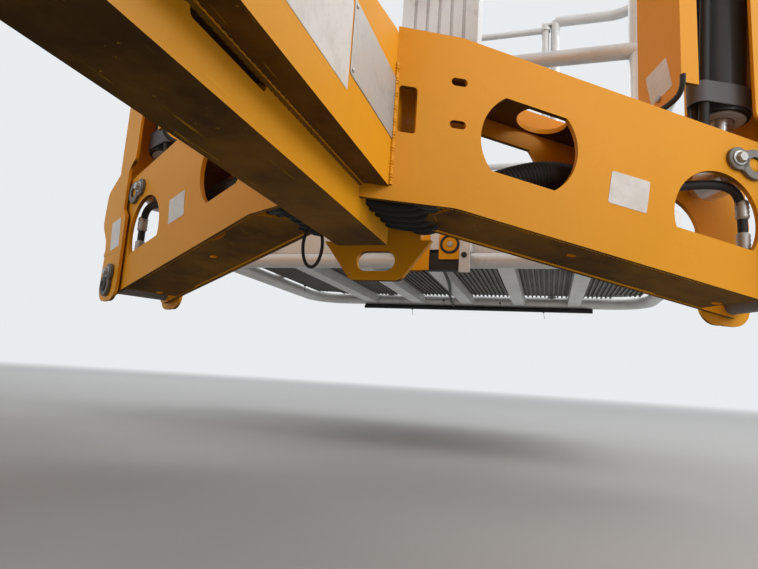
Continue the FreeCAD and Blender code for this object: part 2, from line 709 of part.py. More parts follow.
def build_fenders():
    """A folded sheet fender over each wheel, on two stays from the axle."""
    radius = TYRE_RADIUS + FENDER_GAP
    inner = TRACK / 2 - TYRE_WIDE / 2 - 12.0
    z = TYRE_RADIUS
    outline = [
        (-radius, z - 20),
        (-radius, z + 200),
        (-200, z + radius),
        (200, z + radius),
        (radius, z + 200),
        (radius, z - 20),
    ]
    back = [(x * (1 - FENDER_SHEET / radius), zz - (FENDER_SHEET if abs(x) <= 200 else 0)) for x, zz in outline]
    points = outline + list(reversed(back))
    points = [(x + AXLE_X, zz) for x, zz in points]
    for side, sign in (("left", 1), ("right", -1)):
        y0 = min(sign * inner, sign * FENDER_HALF)
        y1 = max(sign * inner, sign * FENDER_HALF)
        sheet = plate_xz(points, [0] * len(points), y0, y1)
        face_outline = [(x + AXLE_X, zz) for x, zz in outline]
        inner_outline = [
            (AXLE_X + radius - 70, z - 20),
            (AXLE_X + radius - 70, z + 150),
            (AXLE_X + 150, z + radius - 70),
            (AXLE_X - 150, z + radius - 70),
            (AXLE_X - radius + 70, z + 150),
            (AXLE_X - radius + 70, z - 20),
        ]
        y_side = sign * inner
        skirt_y = min(y_side, y_side - sign * FENDER_SHEET)
        skirt = plate_xz(face_outline + inner_outline, [0] * 12, skirt_y, skirt_y + FENDER_SHEET)
        stay_y0 = min(sign * BOX_WIDE / 2, y_side - sign * FENDER_SHEET)
        stay_y1 = max(sign * BOX_WIDE / 2, y_side - sign * FENDER_SHEET)
        pieces = []
        for form in (sheet, skirt):
            pieces += slices(form, xs=(AXLE_X - 200, AXLE_X + 200), zs=(z + 200,))
        for dx in (-250.0, 250.0):
            x0 = AXLE_X + dx - 20
            stay = box(x0, x0 + 40, stay_y0, stay_y1, BOX_TOP - 46, BOX_TOP - 6)
            pieces.append(stay)
        save("fender_" + side, *pieces)


def build_drawbar():
    """The drawbar, its end plate, the coupler and the jack."""
    half = DRAWBAR_WIDE / 2
    z1 = BOX_Z
    z0 = z1 - DRAWBAR_HIGH
    start = FRAME_HALF + 12.0
    end = COUPLER_X - 190.0
    outer = box(start, end, -half, half, z0, z1)
    inside = half - DRAWBAR_WALL
    hollow = box(start - 1, end + 1, -inside, inside, z0 + DRAWBAR_WALL, z1 - DRAWBAR_WALL)
    plate = box(FRAME_HALF, start, -BOX_WIDE / 2, BOX_WIDE / 2, z0 - 20, BOX_TOP - 12)
    gusset = plate_xz(
        [(start, z1), (start + 76, z1), (start + 24, BOX_TOP - 40), (start, BOX_TOP - 30)],
        [0, 0, 16, 0],
        -5,
        5,
    )
    save("drawbar", outer.cut(hollow), plate, gusset)
    # Coupler: a channel over the bar that ends in the socket for the ball
    nose = COUPLER_X
    channel = box(end, nose - 60, -40, 40, z0 + 6, z1 - 4)
    ball = Part.makeSphere(44, Vector(nose - 60, 0, z0 + 44))
    dome = Part.makeCylinder(44, 40, Vector(nose - 60, 0, z0 + 4), Z_AXIS)
    socket = Part.makeSphere(25.4, Vector(nose - 60, 0, z0 + 22))
    shank = Part.makeCylinder(25.4, 40, Vector(nose - 60, 0, z0 - 20), Z_AXIS)
    latch = plate_xz(
        [(end + 30, z1 - 5), (end + 150, z1 - 5), (end + 80, z1 + 42), (end + 20, z1 + 48)],
        [0, 10, 10, 6],
        -12,
        12,
    )
    nib = box(nose - 17, nose, -16, 16, z0 + 30, z0 + 56)
    coupler = fuse([channel, ball, dome, latch, nib]).cut([socket, shank])
    save("coupler", coupler)
    # Jack: a swivel-mount outer tube on the bar's right side, and an inner leg that slides in it
    y = -(half + 10 + JACK_TUBE / 2 + 8)
    bore = JACK_INNER / 2 + RUNNING
    foot_high = 10.0
    tube_low = foot_high + JACK_TRAVEL + SIDE
    tube = cyl_z(JACK_X, y, JACK_TUBE / 2, tube_low, 800)
    flange = box(JACK_X - 60, JACK_X + 60, -(half + 10), -half, z0 - 10, z1 + 10)
    neck = box(JACK_X - 30, JACK_X + 30, y, -(half + 9), z0 + 15, z1 - 15)
    cap = cyl_z(JACK_X, y, JACK_TUBE / 2 + 4, 800, 840)
    shaft = bar(Vector(JACK_X, y, 822), Vector(JACK_X, y - 60, 822), 8)
    crank = bar(Vector(JACK_X, y - 56, 822), Vector(JACK_X + 150, y - 56, 822), 7)
    knob = bar(Vector(JACK_X + 145, y - 56, 822), Vector(JACK_X + 145, y - 136, 822), 13)
    housing = fuse([tube, flange, neck, cap, shaft, crank, knob])
    housing = housing.cut(cyl_z(JACK_X, y, bore, tube_low - 10, 790))
    save("jack_housing", housing)
    leg = cyl_z(JACK_X, y, JACK_INNER / 2, foot_high, 520)
    foot = cyl_z(JACK_X, y, 85, 0, foot_high)
    save("jack_leg", fuse([leg, foot]))


def build_boom_rest():
    """The post that carries the stowed riser on a pad between low lips, which it can slew off."""
    x = REST_X
    z = RISER_Z - RISER_HIGH / 2 - SEAT
    seat_z = z - REST_PAD
    lip_z = z - REST_LIP
    lip_y = REST_WIDE / 2
    half = 30.0
    reach = DRAWBAR_WIDE / 2
    pieces = [
        box(x - 60, x + 60, -reach, reach, BOX_Z, BOX_Z + 10),
        box(x - half, x + half, -half, half, BOX_Z + 10, seat_z - 12),
        box(x - 45, x + 45, -lip_y, lip_y, seat_z - 12, seat_z),
        box(x - 40, x + 40, -50, 50, seat_z, z),
        box(x - 45, x + 45, -lip_y + 1, -lip_y + 13, seat_z, lip_z),
        box(x - 45, x + 45, lip_y - 13, lip_y - 1, seat_z, lip_z),
    ]
    save("boom_rest", *pieces)


def build_tail_lamps():
    """A round lamp in a rubber ring on the outer plate of each rear beam."""
    lamps = []
    u = 330.0
    z = beam_edge(u, BEAM_ROOT_HIGH) - 120.0
    cup = cyl_y(u, z, 56, BEAM_WIDE, BEAM_WIDE + 22)
    lens = cyl_y(u, z, 46, BEAM_WIDE + 21, BEAM_WIDE + 32)
    lamp = fuse([cup, lens])
    for _, sign_x, sign_y in CORNERS:
        if sign_x < 0:
            lamps.append(at_corner(lamp, sign_x, sign_y))
    save("tail_lamps", *lamps)


def build_slew():
    """The pedestal and slewing ring on the frame, and the turntable above it."""
    z0 = BOX_TOP
    z1 = z0 + PEDESTAL_HIGH
    z2 = z1 + RING_HIGH
    deck = box(-RING_RADIUS, RING_RADIUS, -RING_RADIUS, RING_RADIUS, z0, z0 + 14)
    drum = cyl_z(0, 0, RING_RADIUS - 20, z0 + 13, z1)
    ring = cyl_z(0, 0, RING_RADIUS, z1 - 1, z2 - SEAT)
    save("slew_base", fuse([deck, drum, ring]))
    table = cyl_z(0, 0, RING_RADIUS + 40, z2, z2 + TABLE_PLATE)
    deck_z = z2 + TABLE_PLATE
    foot_z = deck_z + TRAY_PLATE
    tray = plate_xy(
        [(-TRAY_BACK, -TRAY_Y), (TRAY_FRONT, -TRAY_Y), (TRAY_FRONT, TRAY_Y), (-TRAY_BACK, TRAY_Y)],
        [60] * 4,
        deck_z,
        foot_z,
    )
    shapes = [table, tray]
    cheek = [
        (-COVER_BACK, foot_z),
        (CHEEK_FRONT, foot_z),
        (CHEEK_FRONT - 90, deck_z + 160),
        (RISER_X + 110, RISER_Z - 120),
        (RISER_X + 90, RISER_Z + 10),
        (RISER_X + LINK_DX + 70, RISER_Z + LINK_DZ + 60),
        (RISER_X + LINK_DX - 60, RISER_Z + LINK_DZ + 60),
        (RISER_X + LINK_DX - 60, RISER_Z + 40),
    ]
    for sign in (-1, 1):
        y0 = min(sign * CHEEK_Y, sign * (CHEEK_Y + CHEEK_PLATE))
        shapes.append(plate_xz(cheek, [0, 0, 60, 60, 30, 50, 50, 60], y0, y0 + CHEEK_PLATE))
    brace_x = 10 - COVER_BACK
    shapes.append(box(brace_x, brace_x + BRACE_PLATE, -CHEEK_Y, CHEEK_Y, foot_z, RISER_Z - 200))
    bores = [cyl_y(x, z, r + RUNNING, -200, 200) for x, z, r in riser_pins()]
    save("turntable_frame", *[shape.cut(bores) for shape in shapes])
    pins = []
    for x, z, r in riser_pins():
        reach = CHEEK_Y + CHEEK_PLATE + 8
        head = [
            cyl_y(x, z, r + 10, CHEEK_Y + CHEEK_PLATE, reach),
            cyl_y(x, z, r + 10, -reach, -CHEEK_Y - CHEEK_PLATE),
        ]
        pins.append(fuse([cyl_y(x, z, r, -reach, reach)] + head))
    save("turntable_pins", *pins)
    # Covers over the batteries and the hydraulic unit
    top = deck_z + COVER_HIGH
    back = -COVER_BACK
    for side, sign in (("left", 1), ("right", -1)):
        in_y = sign * (CHEEK_Y + CHEEK_PLATE + 6)
        out_y = sign * COVER_Y
        points = [
            Vector(back, in_y, foot_z),
            Vector(back, out_y - sign * 60, foot_z),
            Vector(back, out_y, deck_z + 70),
            Vector(back, out_y, top - 150),
            Vector(back, out_y - sign * 130, top),
            Vector(back, in_y, top),
        ]
        hood = Part.Face(rounded(points, [0, 20, 30, 60, 60, 0])).extrude(Vector(COVER_LONG, 0, 0))
        wall = 4.0
        inside = back + wall
        inside_long = COVER_LONG - 2 * wall
        inner_points = [
            Vector(inside, in_y - sign, foot_z - 1),
            Vector(inside, out_y - sign * (60 + wall), foot_z - 1),
            Vector(inside, out_y - sign * wall, deck_z + 72),
            Vector(inside, out_y - sign * wall, top - 152),
            Vector(inside, out_y - sign * (130 + wall), top - wall),
            Vector(inside, in_y - sign, top - wall),
        ]
        cavity = Part.Face(rounded(inner_points, [0, 18, 26, 56, 56, 0])).extrude(Vector(inside_long, 0, 0))
        shell = slices(hood.cut(cavity), xs=(inside, inside + inside_long))
        ends = [piece for piece in shell if piece.BoundBox.XLength < 10]
        skin = [piece for piece in shell if piece.BoundBox.XLength >= 10]
        for piece in skin:
            ends += slices(piece, ys=(out_y - sign * 131,), zs=(deck_z + 72, top - 152))
        save("cover_" + side, *ends)
    # Batteries: four blocks in a tray under the left cover, as one mass
    half_long = BATTERY_LONG / 2
    out_y = BATTERY_IN + BATTERY_WIDE
    save("battery_block", box(-half_long, half_long, BATTERY_IN, out_y, foot_z, foot_z + BATTERY_HIGH))
    # Ground control box on the right cover
    half_wide = PANEL_WIDE / 2
    low = deck_z + PANEL_UP
    panel = box(-half_wide, half_wide, -COVER_Y - PANEL_DEEP, -COVER_Y, low, low + PANEL_HIGH)
    save("ground_controls", panel)


def riser_pins():
    """Pins through the turntable's cheeks: x, z and radius."""
    return (
        (RISER_X, RISER_Z, BOOM_PIN / 2),
        (RISER_X + LINK_DX, RISER_Z + LINK_DZ, BOOM_PIN / 2 - 4),
        (RISER_X + LIFT_BASE[0], RISER_Z + LIFT_BASE[1], BOOM_PIN / 2),
    )


def make_cylinder(base, eye, bore, rod_size, eye_size, pin, half, lug_inner):
    """A cylinder in the X-Z plane from its base pin to its rod eye, telescoped in."""
    a = Vector(base[0], 0, base[1])
    b = Vector(eye[0], 0, eye[1])
    run = b - a
    length = run.Length
    run.normalize()
    end = length - eye_size - 55
    tube = bar(a + run * (eye_size + 4), a + run * end, bore / 2)
    gland = bar(a + run * (end - 50), a + run * end, bore / 2 + 5)
    knob = cyl_y(base[0], base[1], eye_size, -half, half)
    neck = bar(a, a + run * (eye_size + 6), eye_size * 0.7)
    barrel = fuse([tube, gland, knob, neck])
    bored = bar(a + run * (eye_size + 50), b, rod_size / 2 + RUNNING)
    barrel = barrel.cut([bored, cyl_y(base[0], base[1], pin / 2 + RUNNING, -half - 1, half + 1)])
    tip = cyl_y(eye[0], eye[1], eye_size, -half, half)
    rod = bar(a + run * (eye_size + 90), b, rod_size / 2).cut(tip)
    stubs = [
        cyl_y(eye[0], eye[1], pin / 2, -lug_inner + SEAT, -half),
        cyl_y(eye[0], eye[1], pin / 2, half, lug_inner - SEAT),
    ]
    return barrel, [rod, tip] + stubs


def build_riser():
    """The lower boom, its tie bars, the knuckle and the lift cylinder."""
    half_w = RISER_WIDE / 2
    half_h = RISER_HIGH / 2
    x0 = RISER_X
    x1 = KNUCKLE_X
    outline = [
        (x0 - 60, RISER_Z - 50),
        (x0 + 60, RISER_Z - half_h),
        (x1 - 60, RISER_Z - half_h),
        (x1 + 60, RISER_Z - 50),
        (x1 + 60, RISER_Z + 50),
        (x1 - 60, RISER_Z + half_h),
        (x0 + 60, RISER_Z + half_h),
        (x0 - 60, RISER_Z + 50),
    ]
    body = plate_xz(outline, [40, 30, 30, 40, 40, 30, 30, 40], -half_w, half_w)
    lugs = []
    eye_x = RISER_X + LIFT_EYE[0]
    eye_z = RISER_Z + LIFT_EYE[1]
    under = RISER_Z - half_h
    for sign in (-1, 1):
        y0 = min(sign * 45, sign * 55)
        lugs.append(
            plate_xz(
                [(eye_x - 90, under), (eye_x - 30, eye_z - 30), (eye_x + 30, eye_z - 30), (eye_x + 90, under)],
                [0, 20, 20, 0],
                y0,
                y0 + 10,
            )
        )
    hollow = box(
        x0 + RISER_PLUG,
        x1 - RISER_PLUG,
        -half_w + BOOM_WALL,
        half_w - BOOM_WALL,
        RISER_Z - half_h + BOOM_WALL,
        RISER_Z + half_h - BOOM_WALL,
    )
    ends = [
        cyl_y(x0, RISER_Z, BOOM_PIN / 2 + RUNNING, -200, 200),
        cyl_y(x1, RISER_Z, BOOM_PIN / 2 + RUNNING, -200, 200),
    ]
    save("riser_boom", body.cut([hollow] + ends), *lugs)
    # Tie bars, one each side, that keep the knuckle upright
    bars = []
    tie_r = BOOM_PIN / 2 - 4
    ax = RISER_X + LINK_DX
    az = RISER_Z + LINK_DZ
    bx = KNUCKLE_X + LINK_DX
    for sign in (-1, 1):
        y0 = min(sign * LINK_Y, sign * (LINK_Y + LINK_THICK))
        h = LINK_HIGH / 2
        strip = plate_xz(
            [(ax - h, az - h), (bx + h, az - h), (bx + h, az + h), (ax - h, az + h)],
            [h * 0.999] * 4,
            y0,
            y0 + LINK_THICK,
        )
        strip = strip.cut([cyl_y(ax, az, tie_r + RUNNING, -200, 200), cyl_y(bx, az, 30, -200, 200)])
        eye = cyl_y(bx, az, 30, y0, y0 + LINK_THICK)
        bars.append(fuse([strip, eye]))
    rungs = [cyl_y(ax + d, az, 12, -LINK_Y, LINK_Y) for d in (700.0, 1800.0)]
    save("tie_bars", *(bars + rungs))
    # Knuckle: two cheeks between the riser's end and the upper boom
    cheeks = []
    outline = [
        (KNUCKLE_X - 60, RISER_Z - 60),
        (KNUCKLE_X + 60, RISER_Z - 60),
        (KNUCKLE_X + 70, KNUCKLE_Z + 60),
        (KNUCKLE_X - 60, KNUCKLE_Z + 60),
        (KNUCKLE_X - 150, KNUCKLE_Z - 150),
        (KNUCKLE_X - 150, RISER_Z + 110),
    ]
    for sign in (-1, 1):
        y0 = min(sign * 64, sign * 76)
        cheeks.append(plate_xz(outline, [50, 50, 60, 60, 40, 40], y0, y0 + 12))
    pieces = [box(KNUCKLE_X + 50, KNUCKLE_X + 60, -64, 64, RISER_Z + 120, KNUCKLE_Z - 90)]
    luff_x = KNUCKLE_X + LUFF_BASE[0]
    luff_z = KNUCKLE_Z + LUFF_BASE[1]
    pins = [
        (KNUCKLE_X, RISER_Z, BOOM_PIN / 2, 76),
        (KNUCKLE_X, KNUCKLE_Z, BOOM_PIN / 2, 76),
        (luff_x, luff_z, 16.0, 76),
    ]
    for x, z, r, reach in pins:
        shaft = cyl_y(x, z, r, -reach - 8, reach + 8)
        pieces.append(shaft)
        cheeks = [cheek.cut(shaft) for cheek in cheeks]
    save("knuckle", *(cheeks + pieces))
    base = (RISER_X + LIFT_BASE[0], RISER_Z + LIFT_BASE[1])
    eye = (eye_x, eye_z)
    barrel, rod = make_cylinder(base, eye, 100.0, 55.0, 36.0, BOOM_PIN, 34.0, 45.0)
    save("riser_barrel", barrel)
    save("riser_rod", *rod)


def build_upper_boom():
    """The telescoping upper boom and its cylinder."""
    half_w = BOOM_WIDE / 2
    half_h = BOOM_HIGH / 2
    x1 = KNUCKLE_X + 55
    x0 = KNUCKLE_X - BOOM_LONG
    outer = box(x0, x1 - 115, -half_w, half_w, KNUCKLE_Z - half_h, KNUCKLE_Z + half_h)
    wall = BOOM_WALL
    hollow = box(
        x0 - 1,
        x1 - 260,
        -half_w + wall,
        half_w - wall,
        KNUCKLE_Z - half_h + wall,
        KNUCKLE_Z + half_h - wall,
    )
    tube = outer.cut(hollow)
    heel = plate_xz(
        [
            (x1 - 120, KNUCKLE_Z - half_h),
            (x1, KNUCKLE_Z - 45),
            (x1, KNUCKLE_Z + 45),
            (x1 - 120, KNUCKLE_Z + half_h),
        ],
        [0, 40, 40, 0],
        -half_w,
        half_w,
    )
    lugs = []
    eye_x = KNUCKLE_X + LUFF_EYE[0]
    eye_z = KNUCKLE_Z + LUFF_EYE[1]
    under = KNUCKLE_Z - half_h
    for sign in (-1, 1):
        y0 = min(sign * 38, sign * 48)
        lugs.append(
            plate_xz(
                [(eye_x - 70, under), (eye_x - 25, eye_z - 24), (eye_x + 25, eye_z - 24), (eye_x + 70, under)],
                [0, 16, 16, 0],
                y0,
                y0 + 10,
            )
        )
    boom = fuse([tube, heel]).cut(cyl_y(KNUCKLE_X, KNUCKLE_Z, BOOM_PIN / 2 + RUNNING, -200, 200))
    save("upper_boom", boom, *lugs)
    fly_half = FLY_WIDE / 2
    fly_h = FLY_HIGH / 2
    fly_x1 = x0 + FLY_TRAVEL + FLY_LAP
    fly = box(TIP_X - 45, fly_x1, -fly_half, fly_half, KNUCKLE_Z - fly_h, KNUCKLE_Z + fly_h)
    cavity = box(
        TIP_X + 60,
        fly_x1 + 1,
        -fly_half + FLY_WALL,
        fly_half - FLY_WALL,
        KNUCKLE_Z - fly_h + FLY_WALL,
        KNUCKLE_Z + fly_h - FLY_WALL,
    )
    fly = fly.cut(cavity)
    fly = fly.cut(cyl_y(TIP_X, KNUCKLE_Z, BOOM_PIN / 2 + RUNNING, -200, 200))
    # Wear pads round the inner end of the fly
    gap_y = half_w - wall - SEAT
    gap_z = half_h - wall - SEAT
    x = fly_x1 - 130
    block = box(x, x + 110, -gap_y, gap_y, KNUCKLE_Z - gap_z, KNUCKLE_Z + gap_z)
    bore = box(x - 1, x + 111, -fly_half + 1, fly_half - 1, KNUCKLE_Z - fly_h + 1, KNUCKLE_Z + fly_h - 1)
    save("fly_boom", fuse([fly, block.cut(bore)]))
    base = (KNUCKLE_X + LUFF_BASE[0], KNUCKLE_Z + LUFF_BASE[1])
    barrel, rod = make_cylinder(base, (eye_x, eye_z), 72.0, 40.0, 27.0, 32.0, 28.0, 38.0)
    save("luff_barrel", barrel)
    save("luff_rod", *rod)


def build_mast():
    """The upright column that carries the platform, with a fork over the fly boom's tip."""
    x0 = NEAR_X - MAST_DEEP / 2
    x1 = NEAR_X + MAST_DEEP / 2
    half = MAST_WIDE / 2
    z0 = PLATFORM_Z + RAIL
    z1 = 1372.0
    column = box(x0, x1, -half, half, z0, z1)
    grooves = []
    for i in range(5):
        y = -64.0 + 32.0 * i
        grooves.append(box(x1 - 5, x1 + 1, y - 4, y + 4, z0 - 1, z1 + 1))
        grooves.append(box(x0 - 1, x0 + 5, y - 4, y + 4, z0 - 1, z1 + 1))
    column = column.cut(grooves)
    save("mast_column", column)
    fork = []
    inner = FLY_WIDE / 2 + SIDE
    outline = [
        (x0, z1 + 12),
        (x1, z1 + 12),
        (x1 + 20, KNUCKLE_Z - 80),
        (TIP_X + 42, KNUCKLE_Z + 50),
        (TIP_X - 42, KNUCKLE_Z + 50),
        (x0, z1 + 120),
    ]
    for sign in (-1, 1):
        y0 = min(sign * inner, sign * (inner + 12))
        fork.append(plate_xz(outline, [0, 0, 30, 30, 30, 60], y0, y0 + 12))
    base = box(x0, x1, -half, half, z1, z1 + 12)
    pin = cyl_y(TIP_X, KNUCKLE_Z, BOOM_PIN / 2, -inner - 20, inner + 20)
    save("mast_head", *([plate.cut(pin) for plate in fork] + [base, pin]))


def rail_loop(z, gap=0.0):
    """A rounded rectangle of tube at a height; with a gap it is open in the middle of the far side."""
    near = NEAR_X
    far = NEAR_X - PLATFORM_DEEP
    side = PLATFORM_WIDE / 2 - RAIL / 2
    half = MAST_WIDE / 2
    points = [
        Vector(near, half, z),
        Vector(near, side, z),
        Vector(far, side, z),
        Vector(far, gap, z),
    ]
    left = bent_tube(points, [60.0, CORNER], RAIL)
    right = left.mirror(Vector(0, 0, 0), Y_AXIS)
    return [left, right]


def build_platform():
    """Floor, rails, toe boards, gate and the control box."""
    near = NEAR_X
    far = NEAR_X - PLATFORM_DEEP
    side = PLATFORM_WIDE / 2 - RAIL / 2
    z = PLATFORM_Z + RAIL / 2
    # Floor frame: the perimeter tube and five crossbars
    points = [
        Vector(near, 0, z),
        Vector(near, side, z),
        Vector(far, side, z),
        Vector(far, 0, z),
    ]
    left = bent_tube(points, [60.0, CORNER], RAIL)
    right = left.mirror(Vector(0, 0, 0), Y_AXIS)
    shapes = [left, right]
    for i in range(-2, 3):
        y = 180.0 * i
        shapes.append(box(far, near, y - 20, y + 20, PLATFORM_Z + 4, PLATFORM_Z + 34))
    edge = RAIL / 2 + 2
    corner_x = (far + CORNER, near - 60.0)
    corner_y = (CORNER - side, side - CORNER)
    xs = (far + edge, near - edge) + corner_x
    save("platform_frame", *slices(fuse(shapes), xs=xs, ys=corner_y))
    # Ribbed floor
    x0 = far + edge
    x1 = near - edge
    zf = PLATFORM_Z + 34
    outline = [(x0, -side + edge), (x1, -side + edge), (x1, side - edge), (x0, side - edge)]
    bend = CORNER - edge + 4
    plank = plate_xy(outline, [bend, 45, 45, bend], zf + 6, zf + 10)
    ribs = [plank]
    count = int((side - edge) / SLAT)
    for i in range(-count, count + 1):
        shy = 45 if abs(i * SLAT) > side - edge - 90 else 0
        ribs.append(box(x0 + shy, x1 - shy, i * SLAT - 2.5, i * SLAT + 2.5, zf, zf + 7))
    column = box(near - MAST_DEEP / 2, near, -MAST_WIDE / 2, MAST_WIDE / 2, 0, 2000)
    save("platform_floor", fuse(ribs).cut(column))
    # Rails and posts
    rails = []
    low = PLATFORM_Z + RAIL
    mid = PLATFORM_Z + MID_RAIL
    top = PLATFORM_Z + TOP_RAIL
    rails += rail_loop(mid, GATE_HALF)
    rails += rail_loop(top, GATE_HALF)
    posts = [
        (far, GATE_HALF),
        (far, -GATE_HALF),
        (near - 345, side),
        (near - 345, -side),
        (near, side - 120),
        (near, -side + 120),
    ]
    for x, y in posts:
        rails.append(cyl_z(x, y, POST / 2, low, top))
    for height in (low + 126 - SEAT - 8, top - 16 + SEAT):
        rails.append(box(far - 12, far + 12, GATE_HINGE_Y - 12, GATE_HALF, height, height + 8))
    levels = (mid - RAIL / 2, mid + RAIL / 2, top - RAIL / 2)
    save("platform_rails", *slices(fuse(rails), xs=corner_x, ys=corner_y, zs=levels))
    # Toe boards inside the rails
    boards = []
    t = 3.0
    h = 100.0
    zt = zf + 10
    inner = side - edge
    near_end = MAST_WIDE / 2
    gate_end = GATE_HALF + 20
    outer = plate_xy(outline, [bend, 45, 45, bend], zt, zt + h)
    shrunk = [
        (x0 + t, -inner + t),
        (x1 - t, -inner + t),
        (x1 - t, inner - t),
        (x0 + t, inner - t),
    ]
    wall = outer.cut(plate_xy(shrunk, [bend - t, 45 - t, 45 - t, bend - t], zt - 1, zt + h + 1))
    openings = [
        box(near - MAST_DEEP / 2, near, -near_end, near_end, 0, 2000),
        box(far, x0 + t + 1, -gate_end, gate_end, 0, 2000),
    ]
    save("toe_boards", *slices(wall.cut(openings), xs=corner_x, ys=corner_y))
    # Gate, hinged at the left post, opens inwards
    hinge = GATE_HINGE_Y
    latch = -GATE_HALF + POST / 2 + GATE_TUBE + SEAT
    stiles = [cyl_z(far, y, GATE_TUBE, low + 126, top - 16) for y in (hinge, latch)]
    bars = [cyl_y(far, height, GATE_BAR, latch, hinge).cut(stiles) for height in (mid, top - 30, low + 140)]
    save("gate", *(stiles + bars))
    # Platform control box on the near rail
    control = box(near - 150, near - RAIL / 2 - SEAT, -380, -130, top - 130, top + 30)
    save("platform_controls", control)


build_spine()
build_beams()
build_rear_bracket()
build_pins()
build_legs()
build_axle()
build_wheels()
build_fenders()
build_drawbar()
build_boom_rest()
build_tail_lamps()
build_slew()
build_riser()
build_upper_boom()
build_mast()
build_platform()
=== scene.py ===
"""Looks of a towable articulating boom lift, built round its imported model.

Lengths are metres in the frame of the model: +X to the coupler, +Y to the machine's left, +Z up,
with the floor at Z = 0 and the middle of the machine's length at X = 0.
"""

import math

import bmesh
import bpy
import numpy as np
from bpy.props import FloatProperty, FloatVectorProperty, IntProperty, PointerProperty
from mathutils import Matrix, Vector


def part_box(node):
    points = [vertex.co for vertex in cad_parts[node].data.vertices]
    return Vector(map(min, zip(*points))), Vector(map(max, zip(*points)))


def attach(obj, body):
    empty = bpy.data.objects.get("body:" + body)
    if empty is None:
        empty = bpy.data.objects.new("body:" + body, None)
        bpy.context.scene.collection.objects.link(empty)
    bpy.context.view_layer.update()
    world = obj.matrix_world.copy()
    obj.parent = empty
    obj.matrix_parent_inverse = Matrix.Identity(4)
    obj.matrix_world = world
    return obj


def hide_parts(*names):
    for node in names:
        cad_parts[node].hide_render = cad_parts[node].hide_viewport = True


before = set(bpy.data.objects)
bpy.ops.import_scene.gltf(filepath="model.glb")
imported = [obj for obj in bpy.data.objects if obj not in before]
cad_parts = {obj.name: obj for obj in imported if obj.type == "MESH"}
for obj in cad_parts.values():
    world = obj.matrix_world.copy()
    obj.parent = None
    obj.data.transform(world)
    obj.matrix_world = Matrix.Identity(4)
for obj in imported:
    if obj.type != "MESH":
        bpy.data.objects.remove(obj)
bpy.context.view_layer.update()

bl_info = {
    "name": "Trailer Boom Lift Looks",
    "version": (1, 0, 0),
    "blender": (4, 5, 0),
    "location": "3D View > Sidebar > Boom Lift",
    "description": "Dresses the packed model of a towable boom lift and sets its stage",
    "category": "Object",
}

# The model's own places, which the new pieces are tied to
SHIFT_X = -0.599            # slew axis
ROOT = 0.900                # slew axis to a beam's root
BOX_HALF = 0.076            # half the spine box's width
BOX_LOW = 0.411
BOX_TOP = 0.591
TUBE_LOW = 0.361
TUBE_HALF = 0.041
FRAME_HALF = 1.045
BEAM_ANGLE = math.radians(28.5)
BEAM_WIDE = 0.128
BEAM_PLATE = 0.008
BEAM_BEND = 0.095
BEAM_FALL = 0.170
PIVOT = (0.645, 0.321)      # leg pivot, along the beam and above the floor
STRUT = (0.577, 0.521)      # rod pin of the leg's cylinder
HEAD = (0.610, 1.178)       # head pin of the leg's cylinder
GUARD = 0.444               # face of a leg's guard, along the beam
LAMP = 0.330                # middle of a rear lamp, along the beam
CORNERS = (
    ("rear_left", -1, 1),
    ("rear_right", -1, -1),
    ("front_left", 1, 1),
    ("front_right", 1, -1),
)
AXLE = (-0.659, 0.331)
TRACK_HALF = 0.645
TYRE_RADIUS = 0.331
TYRE_HALF = 0.1016
RIM_RADIUS = 0.178
JACK_X = 1.961
CRANK_Z = 0.822             # grip of the jack's crank
REST_X = 0.601
RISER_Z = 1.380             # stowed riser and upper boom
BOOM_Z = 1.800
KNUCKLE_X = 1.601
HEAD_PIN = (1.501, 1.623)   # tie bars' pin in the knuckle

SHARP_ANGLE = math.radians(35.0)        # edges between faces steeper than this stay sharp
FILM_THICK = 0.0006                     # a printed film
FINISHES = {}                           # the materials by their short names, from the first operator


# Shader maths


class Value:
    """A socket that takes part in expressions: each operator adds its Math node."""

    def __init__(self, paint, socket):
        self.paint = paint
        self.socket = socket

    def _math(self, operation, *others):
        inputs = {0: self}
        inputs.update({i + 1: other for i, other in enumerate(others)})
        return self.paint.node("ShaderNodeMath", {"operation": operation}, inputs)

    def _swapped(self, operation, other):
        return self.paint.node("ShaderNodeMath", {"operation": operation}, {0: other, 1: self})

    def __add__(self, other):
        return self._math("ADD", other)

    def __radd__(self, other):
        return self._swapped("ADD", other)

    def __sub__(self, other):
        return self._math("SUBTRACT", other)

    def __rsub__(self, other):
        return self._swapped("SUBTRACT", other)

    def __mul__(self, other):
        return self._math("MULTIPLY", other)

    def __rmul__(self, other):
        return self._swapped("MULTIPLY", other)

    def step(self, low, high):
        """0 below low, 1 above high, and a smooth rise between them."""
        settings = {"interpolation_type": "SMOOTHSTEP", "clamp": True}
        inputs = {0: self, 1: low, 2: high, 3: 0.0, 4: 1.0}
        return self.paint.node("ShaderNodeMapRange", settings, inputs)


class Nodes:
    """A node tree under construction: its nodes are added by one method."""

    def __init__(self, tree):
        self.tree = tree
        self.tree.nodes.clear()

    def node(self, kind, settings=None, inputs=None, output=0):
        """Adds a node: its settings first, then the values or links of its sockets."""
        made = self.tree.nodes.new(kind)
        for key, value in (settings or {}).items():
            setattr(made, key, value)
        for key, value in (inputs or {}).items():
            self.feed(made.inputs[key], value)
        return Value(self, made.outputs[output])

    def feed(self, socket, value):
        if isinstance(value, Value):
            self.tree.links.new(value.socket, socket)
        else:
            socket.default_value = value


